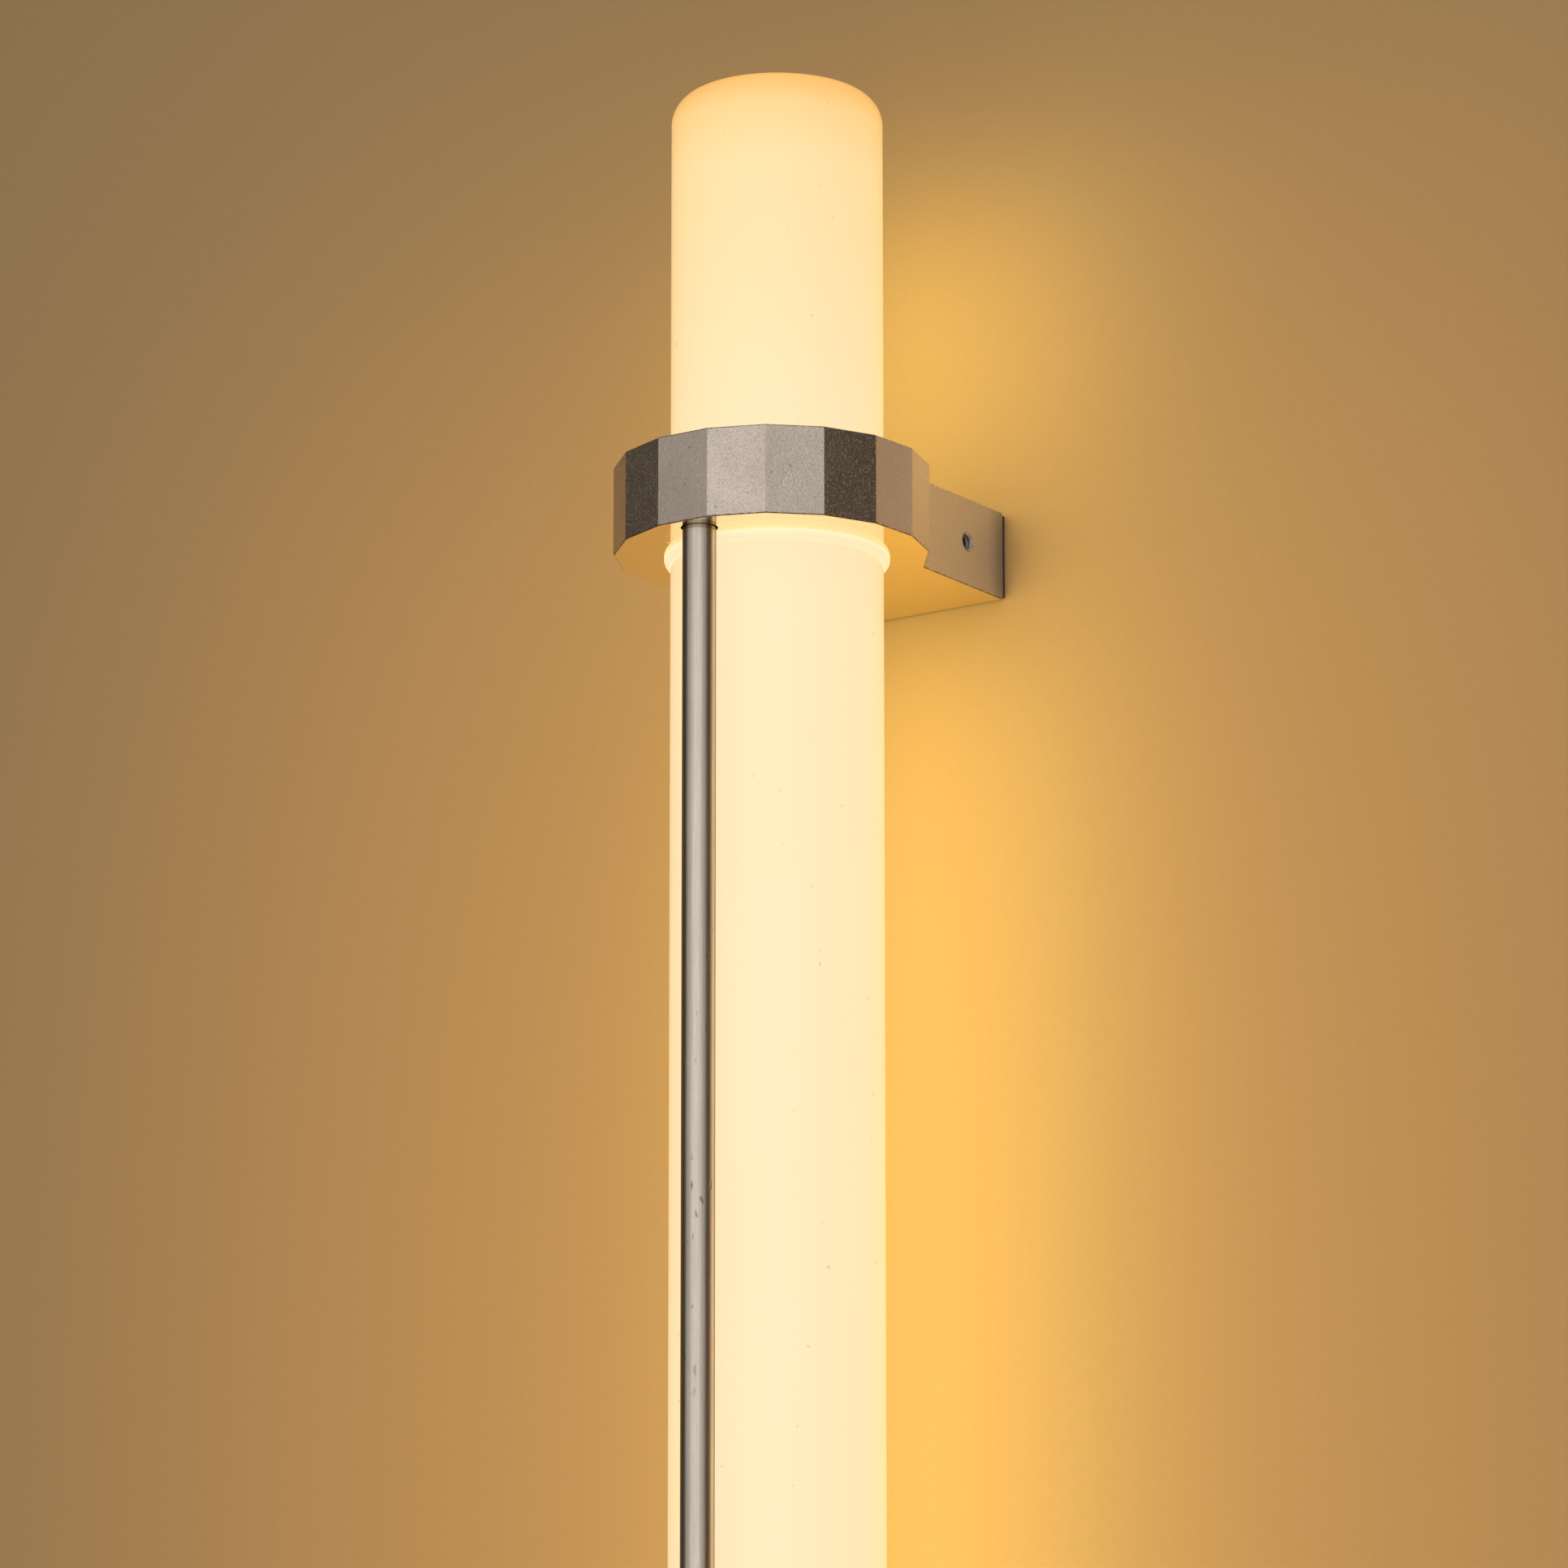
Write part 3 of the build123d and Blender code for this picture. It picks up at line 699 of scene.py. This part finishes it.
finishes = {
    "bracket_metal": bracketMaterial(),
    "rod_steel": rodMaterial(),
    "opal_acrylic": opalMaterial(),
    "clear_silicone": siliconeMaterial(),
    "phosphor": phosphorMaterial(),
}
metals = {
    # name: colour, darker colour, roughness, and the way of the brushing if not upright
    "dark_steel": ((0.16, 0.15, 0.14), (0.06, 0.055, 0.05), 0.32),
    "screw_steel": ((0.66, 0.66, 0.65), (0.42, 0.41, 0.4), 0.24),
    "zinc_steel": ((0.66, 0.67, 0.68), (0.45, 0.46, 0.48), 0.3, (0.1, 1.0, 1.0)),
    "spine_aluminium": ((0.8, 0.81, 0.82), (0.62, 0.63, 0.65), 0.34),
}
plastics = {
    # name: colour, darker colour, roughness, bump strength
    "dark_rubber": ((0.028, 0.028, 0.024), (0.045, 0.043, 0.036), 0.62, 0.5),
    "white_plastic": ((0.84, 0.84, 0.81), (0.72, 0.72, 0.68), 0.42, 0.15),
    "terminal_plastic": ((0.78, 0.78, 0.74), (0.66, 0.66, 0.61), 0.45, 0.2),
    "strip_board": ((0.88, 0.88, 0.85), (0.78, 0.78, 0.74), 0.4, 0.1),
    "feed_wire_sleeve": ((0.82, 0.82, 0.8), (0.7, 0.7, 0.66), 0.4, 0.1),
    "brown_sleeve": ((0.2, 0.085, 0.04), (0.14, 0.06, 0.03), 0.38, 0.1),
    "blue_sleeve": ((0.05, 0.18, 0.5), (0.035, 0.13, 0.4), 0.38, 0.1),
    "earth_sleeve": ((0.24, 0.52, 0.1), (0.62, 0.62, 0.1), 0.38, 0.1),
}
for name, values in metals.items():
    finishes[name] = plainMetal(name, *values)
for name, values in plastics.items():
    finishes[name] = plainPlastic(name, *values)
print("finishes made:", len(finishes))


# mesh helpers

def finishPiece(name, work, finish, body, replaced=(), smoothAngle=32.0):
    bmesh.ops.remove_doubles(work, verts=work.verts, dist=mergeDistance)
    bmesh.ops.recalc_face_normals(work, faces=work.faces)
    mesh = bpy.data.meshes.new(name)
    for face in work.faces:
        face.smooth = True
    work.to_mesh(mesh)
    work.free()
    mesh.set_sharp_from_angle(angle=math.radians(smoothAngle))
    mesh.materials.append(finishes[finish])
    piece = bpy.data.objects.new(name, mesh)
    bpy.context.scene.collection.objects.link(piece)
    piece.modifiers.new("even shading", "WEIGHTED_NORMAL").keep_sharp = True
    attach(piece, body)
    if replaced:
        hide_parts(*replaced)
    return piece


def closedSection(work, points):
    corners = [work.verts.new(point) for point in points]
    sides = [work.edges.new(pair) for pair in zip(corners, corners[1:] + corners[:1])]
    return corners + sides


def turnedBlank(profile, axisY, steps):
    # a closed section (radius, height) turned round an upright axis
    work = bmesh.new()
    section = closedSection(work, [(radius, axisY, height) for radius, height in profile])
    bmesh.ops.spin(
        work, geom=section, cent=(0.0, axisY, 0.0), axis=(0.0, 0.0, 1.0),
        dvec=(0.0, 0.0, 0.0), angle=fullTurn, steps=steps, use_merge=True, use_duplicate=False,
    )
    bmesh.ops.remove_doubles(work, verts=work.verts, dist=mergeDistance)
    dead = [face for face in work.faces if face.calc_area() < leastArea]
    bmesh.ops.delete(work, geom=dead, context="FACES")
    onAxis = [edge for edge in work.edges if edge.is_wire]
    bmesh.ops.delete(work, geom=onAxis, context="EDGES")
    bmesh.ops.recalc_face_normals(work, faces=work.faces)
    return work


def ringEdges(work, radius, height, axisY, slack=2e-5):
    # the edges of the turned corner at this radius and height
    def onRing(vert):
        reach = math.hypot(vert.co.x, vert.co.y - axisY)
        return abs(reach - radius) < slack and abs(vert.co.z - height) < slack
    return [edge for edge in work.edges if onRing(edge.verts[0]) and onRing(edge.verts[1])]


def roundRing(work, radius, height, axisY, size, segments):
    bmesh.ops.bevel(
        work, geom=ringEdges(work, radius, height, axisY), offset=size, offset_type="OFFSET",
        segments=segments, profile=0.5, affect="EDGES", material=-1, clamp_overlap=False,
    )


# opal tube: closed and rounded at the top, open at the foot

tubeSizes = {
    "wall": 0.003,
    "endThickness": 0.005,
    "edgeRadius": 0.010,
    "steps": 160,
    "roundSegments": 14,
    "innerSegments": 8,
}


def makeTube():
    sizes = tubeSizes
    bore = tubeRadius - sizes["wall"]
    ceiling = lampTop - sizes["endThickness"]
    openEnd = tubeLow.z
    profile = [
        (0.0, lampTop), (tubeRadius, lampTop), (tubeRadius, openEnd),
        (bore, openEnd), (bore, ceiling), (0.0, ceiling),
    ]
    work = turnedBlank(profile, tubeY, sizes["steps"])
    innerRadius = sizes["edgeRadius"] - sizes["wall"]
    roundRing(work, tubeRadius, lampTop, tubeY, sizes["edgeRadius"], sizes["roundSegments"])
    roundRing(work, bore, ceiling, tubeY, innerRadius, sizes["innerSegments"])
    roundRing(work, tubeRadius, openEnd, tubeY, edgeBreak, segments=2)
    return finishPiece("opal_tube", work, "opal_acrylic", "lamp", ["diffuser_tube"])


makeTube()
print("tube made")


# front rod, with the tapped holes in its ends

rodSizes = {"steps": 96, "endChamfer": 0.0004, "tappedRadius": 0.00305, "tappedDepth": 0.016}


def makeRod():
    sizes = rodSizes
    hole, depth = sizes["tappedRadius"], sizes["tappedDepth"]
    top, foot = rodHigh.z, rodLow.z
    profile = [
        (rodRadius, top), (rodRadius, foot), (hole, foot), (hole, foot + depth),
        (0.0, foot + depth), (0.0, top - depth), (hole, top - depth), (hole, top),
    ]
    work = turnedBlank(profile, rodY, sizes["steps"])
    for end in (top, foot):
        roundRing(work, rodRadius, end, rodY, sizes["endChamfer"], segments=3)
        roundRing(work, hole, end, rodY, edgeBreak, segments=1)
    return finishPiece("front_rod", work, "rod_steel", "lamp", ["support_rod"])


makeRod()
print("rod made")


# grip rings: a sleeve in the collar, and a bead that bulges from the face the tube leaves by

gripRing = {
    "bore": 0.0351,
    "sleeveRadius": 0.0364,
    "beadHeight": 0.0030,
    "beadLip": 0.0370,
    "beadRound": 0.0026,
    "roundSegments": 12,
    "steps": 160,
}


def arcPoints(start, end, radius, count):
    # the round between two corners of a section, bulging away from the axis
    start, end = Vector(start), Vector(end)
    half = (end - start) / 2
    away = Vector((half.y, -half.x)).normalized()
    if away.x < 0:
        away.negate()
    centre = (start + end) / 2 - away * math.sqrt(radius ** 2 - half.length_squared)
    first, sweep = start - centre, (start - centre).angle_signed(end - centre)
    turns = [Matrix.Rotation(-sweep * i / count, 2) for i in range(count + 1)]
    return [tuple(centre + turn @ first) for turn in turns]


def makeGripRing(node, outward):
    sizes = gripRing
    low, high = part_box(node)
    bore, sleeveRadius = sizes["bore"], sizes["sleeveRadius"]
    sleeveEnd, beadEnd = (low.z, high.z) if outward > 0 else (high.z, low.z)
    beadSeat = beadEnd - outward * sizes["beadHeight"]
    sleeve = [(bore, sleeveEnd), (sleeveRadius, sleeveEnd), (sleeveRadius, beadSeat)]
    lip = (sizes["beadLip"], beadSeat)
    bead = arcPoints(lip, (bore, beadEnd), sizes["beadRound"], sizes["roundSegments"])
    work = turnedBlank(sleeve + bead, tubeY, sizes["steps"])
    roundRing(work, bore, sleeveEnd, tubeY, edgeBreak, segments=2)
    roundRing(work, sleeveRadius, sleeveEnd, tubeY, edgeBreak, segments=2)
    name = node.replace("grip_ring", "bead_ring")
    return finishPiece(name, work, "clear_silicone", "lamp", [node])


makeGripRing("upper_grip_ring", -1)
makeGripRing("lower_grip_ring", 1)
print("grip rings made")


# end cap: rounded like the top, a spigot up the tube with a groove for its seal, a screw hole

endCap = {
    "edgeRadius": 0.010,
    "roundSegments": 14,
    "seatGap": 0.0001,
    "spigotRadius": 0.0317,
    "grooveRadius": 0.03005,
    "grooveWidth": 0.002,
    "screwHole": 0.0028,
    "counterbore": (0.0048, 0.0037),  # radius, depth
    "steps": 160,
}


def makeEndCap():
    sizes = endCap
    foot, top = lampFoot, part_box("end_cap")[1].z
    seat = tubeLow.z - sizes["seatGap"]
    middle, half = (top + tubeLow.z) / 2, sizes["grooveWidth"] / 2
    grooveLow, grooveHigh, groove = middle - half, middle + half, sizes["grooveRadius"]
    boreRadius, boreDepth = sizes["counterbore"]
    spigot, hole = sizes["spigotRadius"], sizes["screwHole"]
    profile = [
        (hole, foot + boreDepth), (boreRadius, foot + boreDepth), (boreRadius, foot),
        (tubeRadius, foot), (tubeRadius, seat), (spigot, seat),
        (spigot, grooveLow), (groove, grooveLow), (groove, grooveHigh), (spigot, grooveHigh),
        (spigot, top), (hole, top),
    ]
    work = turnedBlank(profile, tubeY, sizes["steps"])
    roundRing(work, tubeRadius, foot, tubeY, sizes["edgeRadius"], sizes["roundSegments"])
    for radius, height in ((boreRadius, foot), (tubeRadius, seat), (spigot, top)):
        roundRing(work, radius, height, tubeY, edgeBreak, segments=2)
    return finishPiece("opal_end_cap", work, "opal_acrylic", "lamp", ["end_cap"])


makeEndCap()
print("end cap made")


# wall gaskets: at the top and underside of the arm the rubber sits a little further in

wallGaskets = {"nodes": ("upper_wall_gasket", "lower_wall_gasket"), "setIn": 0.0006}


def setInGasket(node):
    low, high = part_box(node)
    work = bmesh.new()
    work.from_mesh(frame["nodes"][node].data)
    for vert in work.verts:
        if high.z - vert.co.z < onFace:
            vert.co.z -= wallGaskets["setIn"]
        elif vert.co.z - low.z < onFace:
            vert.co.z += wallGaskets["setIn"]
    return finishPiece("set_in_" + node, work, "dark_rubber", "lamp", [node])


for node in wallGaskets["nodes"]:
    setInGasket(node)
print("gaskets made:", len(wallGaskets["nodes"]))


# machined and moulded pieces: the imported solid, with its sharp edges broken

brokenEdges = {
    # node: width of the broken edge, least angle that counts as an edge
    "upper_bracket": (0.00014, 15.0),
    "lower_bracket": (0.00014, 15.0),
    "upper_wall_bracket": (0.0003, 40.0),
    "lower_wall_bracket": (0.0003, 40.0),
    "upper_rod_screw": (0.0002, 40.0),
    "lower_rod_screw": (0.0002, 40.0),
    "upper_side_screw": (0.0001, 40.0),
    "lower_side_screw": (0.0001, 40.0),
    "end_cap_screw": (0.0001, 40.0),
    "mains_terminal": (0.0002, 40.0),
    "lamp_plug": (0.0003, 40.0),
}
sameFace = 0.5  # degrees: faces that lie closer than this are joined first
bodies = frame["record"]["behaviour"]["bodies"]
slotOf = {part["node"]: part["material_slot"] for part in frame["record"]["subparts"]}
bodyOf = {node: body for body, nodes in bodies.items() for node in nodes}


def breakEdges(node, width, leastAngle):
    work = bmesh.new()
    work.from_mesh(frame["nodes"][node].data)
    bmesh.ops.remove_doubles(work, verts=work.verts, dist=mergeDistance)
    bmesh.ops.dissolve_limit(
        work, angle_limit=math.radians(sameFace), verts=work.verts, edges=work.edges
    )
    sharp = [edge for edge in work.edges if edge.calc_face_angle(0.0) > math.radians(leastAngle)]
    bmesh.ops.bevel(
        work, geom=sharp, offset=width, offset_type="OFFSET", segments=2, profile=0.5,
        affect="EDGES", material=-1, clamp_overlap=False,
    )
    return finishPiece("finished_" + node, work, slotOf[node], bodyOf[node], [node])


for node, (width, leastAngle) in brokenEdges.items():
    breakEdges(node, width, leastAngle)
print("edges broken:", len(brokenEdges))


# the thread that shows in the mouth of each side hole

sideThread = {
    "rootRadius": 0.00305,
    "crestRadius": 0.00262,
    "pitch": 0.001,
    "flank": 0.44,  # of the pitch, from root to crest
    "screwGap": 0.0001,
    "turns": 1.7,
    "stepsPerTurn": 40,
}


def makeSideThread(name, screw):
    sizes = sideThread
    low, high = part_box(screw)
    middle = (low + high) / 2
    start, flank = high.x + sizes["screwGap"], sizes["pitch"] * sizes["flank"]
    root, crest = sizes["rootRadius"], sizes["crestRadius"]
    work = bmesh.new()
    ridge = ((start, root), (start + flank, crest), (start + 2 * flank, root))
    section = closedSection(work, [(x, middle.y, middle.z + radius) for x, radius in ridge])
    bmesh.ops.spin(
        work, geom=section, cent=middle, axis=(1.0, 0.0, 0.0),
        dvec=(sizes["pitch"] / sizes["stepsPerTurn"], 0.0, 0.0),
        angle=fullTurn * sizes["turns"], steps=round(sizes["turns"] * sizes["stepsPerTurn"]),
        use_merge=False, use_duplicate=False,
    )
    bmesh.ops.holes_fill(work, edges=[edge for edge in work.edges if edge.is_boundary], sides=0)
    return finishPiece(name, work, "bracket_metal", "lamp")


makeSideThread("upper_side_thread", "upper_side_screw")
makeSideThread("lower_side_thread", "lower_side_screw")
print("side threads made")


# camera at the photograph's place

cameraValues = {
    "place": (1.7136, -2.581, -0.8764),
    "right": (0.824805825, 0.565416047, -0.000212859),
    "up": (0.142089621, -0.20691012, 0.967986953),
    "lens": 220.22,
    "sensorWidth": 36.0,
    "farEnd": 60.0,
}


def makeCamera():
    data = bpy.data.cameras.new("camera")
    camera = bpy.data.objects.new("camera", data)
    bpy.context.scene.collection.objects.link(camera)
    right, up = Vector(cameraValues["right"]), Vector(cameraValues["up"])
    turn = Matrix((right, up, right.cross(up))).transposed()
    camera.matrix_world = Matrix.Translation(cameraValues["place"]) @ turn.to_4x4()
    data.sensor_width = cameraValues["sensorWidth"]
    data.lens = cameraValues["lens"]
    data.clip_end = cameraValues["farEnd"]
    bpy.context.scene.camera = camera


makeCamera()


# stage: a pale floor and a pale warm wall, which don't show from behind

stageValues = {
    "wallColour": (0.30, 0.21, 0.105),
    "floorColour": (0.80, 0.77, 0.72),
    "floorHeight": -1.95,
    "wallReach": 3.0,
    "floorReach": 9.0,
    "wallGap": 0.0003,  # behind the faces that stand on it
    "backLit": ("upper_wall_bracket", "lower_wall_bracket"),  # light comes through to them
    "mottleScale": 420.0,
    "mottleShare": 0.12,
    "mottleShade": 0.8,
}


def behindBrackets(tree, place):
    # 1 within the outlines of the wall brackets, for all rays but the camera's
    split = parted(tree, place)
    inside = 0.0
    for node in stageValues["backLit"]:
        low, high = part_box(node)
        fromMiddle = calc(tree, "ABSOLUTE", minus(tree, split["Z"], (low.z + high.z) / 2))
        inside = plus(tree, inside, calc(tree, "LESS_THAN", fromMiddle, (high.z - low.z) / 2))
    wide = calc(tree, "LESS_THAN", calc(tree, "ABSOLUTE", split["X"]), high.x)
    unseen = minus(tree, 1.0, addNode(tree, "ShaderNodeLightPath").outputs["Is Camera Ray"])
    return times(tree, times(tree, inside, wide), unseen)


def stageMaterial(name, colour, backLit=False):
    material = bpy.data.materials.new(name)
    material.use_nodes = True
    tree = material.node_tree
    tree.nodes.clear()
    place = addNode(tree, "ShaderNodeTexCoord").outputs["Object"]
    mottle = noise(tree, place, stageValues["mottleScale"], detail=3.0, roughness=0.6)
    mottle = ramped(tree, mottle, *softRamp, 0.0, stageValues["mottleShare"])
    darker = tuple(stageValues["mottleShade"] * part for part in colour)
    tint = mixed(tree, mottle, rgba(colour), rgba(darker))
    matt = addNode(tree, "ShaderNodeBsdfDiffuse")
    tree.links.new(tint, matt.inputs["Color"])
    clear = addNode(tree, "ShaderNodeBsdfTransparent")
    sides = addNode(tree, "ShaderNodeMixShader")
    fromBehind = addNode(tree, "ShaderNodeNewGeometry").outputs["Backfacing"]
    if backLit:
        fromBehind = calc(tree, "MAXIMUM", fromBehind, behindBrackets(tree, place))
    tree.links.new(fromBehind, sides.inputs[0])
    tree.links.new(matt.outputs[0], sides.inputs[1])
    tree.links.new(clear.outputs[0], sides.inputs[2])
    tree.links.new(sides.outputs[0], addNode(tree, "ShaderNodeOutputMaterial").inputs["Surface"])
    return material


def makeStagePlane(name, colour, reach, place, facing, backLit=False):
    work = bmesh.new()
    bmesh.ops.create_grid(work, x_segments=1, y_segments=1, size=reach)
    turn = Vector((0, 0, 1)).rotation_difference(Vector(facing)).to_matrix()
    bmesh.ops.rotate(work, cent=(0, 0, 0), matrix=turn, verts=work.verts)
    bmesh.ops.translate(work, vec=place, verts=work.verts)
    mesh = bpy.data.meshes.new(name)
    work.to_mesh(mesh)
    work.free()
    mesh.materials.append(stageMaterial(name, colour, backLit))
    plane = bpy.data.objects.new(name, mesh)
    bpy.context.scene.collection.objects.link(plane)
    plane.visible_shadow = False
    return plane


floorHeight, wallReach = stageValues["floorHeight"], stageValues["wallReach"]
floor = makeStagePlane(
    "floor", stageValues["floorColour"], stageValues["floorReach"],
    (0, 0, floorHeight), (0, 0, 1),
)
wall = makeStagePlane(
    "wall", stageValues["wallColour"], wallReach,
    (0, stageValues["wallGap"], floorHeight + wallReach), (0, -1, 0), backLit=True,
)
print("stage set")


# studio light: a wide soft light in front, another high up behind

softboxes = {
    # name: azimuth, elevation, distance, width, height, radiance
    "front": (19.5, 8.0, 1.85, 2.3, 3.0, 0.42),
    "highBack": (180.0, 62.0, 2.4, 2.6, 2.0, 0.6),
}


def makeSoftbox(name, azimuth, elevation, distance, width, height, radiance):
    data = bpy.data.lights.new(name, "AREA")
    data.shape = "RECTANGLE"
    data.size, data.size_y = width, height
    data.energy = radiance * math.pi * width * height
    lamp = bpy.data.objects.new(name, data)
    bpy.context.scene.collection.objects.link(lamp)
    turned, raised = math.radians(azimuth), math.radians(elevation)
    level = math.cos(raised)
    outward = Vector((math.sin(turned) * level, -math.cos(turned) * level, math.sin(raised)))
    target = Vector((0.0, tubeY, collarMiddle))
    lamp.location = target + outward * distance
    lamp.rotation_mode = "QUATERNION"
    lamp.rotation_quaternion = outward.to_track_quat("Z", "Y")
    lamp.visible_camera = False
    return lamp


for name, values in softboxes.items():
    makeSoftbox(name, *values)


# dark cards at both sides, seen only in the metal's reflections

flagValues = {
    "colour": (0.07, 0.056, 0.042),
    "left": (-1.2, -1.15, -0.05),  # X, then from and to along Y
    "right": (0.20, -0.158, -0.002),
    "low": -1.9,
    "high": 2.4,
}


def makeFlag(name, x, start, end):
    values = flagValues
    low, high = values["low"], values["high"]
    work = bmesh.new()
    outline = ((start, low), (end, low), (end, high), (start, high))
    work.faces.new([work.verts.new((x, y, z)) for y, z in outline])
    mesh = bpy.data.meshes.new(name)
    work.to_mesh(mesh)
    work.free()
    material = bpy.data.materials.new(name)
    material.use_nodes = True
    matt = material.node_tree.nodes["Principled BSDF"]
    matt.inputs["Base Color"].default_value = rgba(values["colour"])
    matt.inputs["Roughness"].default_value = 1.0
    mesh.materials.append(material)
    flag = bpy.data.objects.new(name, mesh)
    bpy.context.scene.collection.objects.link(flag)
    flag.visible_camera = False
    flag.visible_diffuse = False
    flag.visible_shadow = False


makeFlag("leftFlag", *flagValues["left"])
makeFlag("rightFlag", *flagValues["right"])


# the lamp's warm glow: strips of light behind the tube that reach the wall and floor alone

wallGlow = {
    "colour": (1.0, 0.80, 0.24),
    "radiance": 4.7,
    "clearance": 0.003,  # off the tube's skin
    "turns": (-75.0, -45.0, -15.0, 15.0, 45.0, 75.0),
    "shortening": 0.02,
}
wideGlow = {
    "colour": (1.0, 0.52, 0.14),
    "radiance": 1.9,
    "width": 0.15,
    "places": ((-0.18, -0.2), (0.18, -0.2)),
}


def makeGlow(x, y, outward, width, values, lit):
    height = lampTop - lampFoot - 2 * wallGlow["shortening"]
    data = bpy.data.lights.new("wallGlow", "AREA")
    data.shape = "RECTANGLE"
    data.size, data.size_y = width, height
    data.color = values["colour"]
    data.energy = values["radiance"] * math.pi * width * height
    glow = bpy.data.objects.new("wallGlow", data)
    bpy.context.scene.collection.objects.link(glow)
    glow.location = (x, y, lampMiddle)
    glow.rotation_mode = "QUATERNION"
    glow.rotation_quaternion = (-outward).to_track_quat("Z", "Y")
    glow.visible_camera = False
    glow.visible_glossy = False
    glow.light_linking.receiver_collection = lit


def makeWallGlow():
    lit = bpy.data.collections.new("litByGlow")
    lit.objects.link(wall)
    lit.objects.link(floor)
    reach = tubeRadius + wallGlow["clearance"]
    width = 2 * reach * math.tan(math.radians(wallGlow["turns"][1] - wallGlow["turns"][0]) / 2)
    for turn in wallGlow["turns"]:
        outward = Vector((math.sin(math.radians(turn)), math.cos(math.radians(turn)), 0.0))
        makeGlow(outward.x * reach, tubeY + outward.y * reach, outward, width, wallGlow, lit)
    for x, y in wideGlow["places"]:
        makeGlow(x, y, Vector((0.0, 1.0, 0.0)), wideGlow["width"], wideGlow, lit)


makeWallGlow()


worldValues = {
    "lightLevel": 0.75,
    "lightColour": (1.0, 0.98, 0.95),
    "backgroundLevel": 0.50,
    "backgroundColour": (1.0, 0.93, 0.85),
}


def makeWorld():
    # one level for what lights the lamp, another for what is seen, reflected or looked through to
    values = worldValues
    world = bpy.data.worlds.new("studio")
    bpy.context.scene.world = world
    world.use_nodes = True
    tree = world.node_tree
    background = tree.nodes["Background"]
    rays = addNode(tree, "ShaderNodeLightPath")
    seen = calc(tree, "MAXIMUM", rays.outputs["Is Camera Ray"], rays.outputs["Is Glossy Ray"])
    seen = calc(tree, "MAXIMUM", seen, rays.outputs["Is Transmission Ray"])
    level = ramped(
        tree, seen, 0.0, 1.0, values["lightLevel"], values["backgroundLevel"], smooth=False
    )
    colour = mixed(tree, seen, rgba(values["lightColour"]), rgba(values["backgroundColour"]))
    tree.links.new(colour, background.inputs["Color"])
    tree.links.new(level, background.inputs["Strength"])


makeWorld()
bpy.context.scene.view_settings.view_transform = "Standard"

for part in frame["record"]["subparts"]:
    packed = frame["nodes"][part["node"]]
    packed.data.materials.clear()
    packed.data.materials.append(finishes[part["material_slot"]])

print("scene ready")
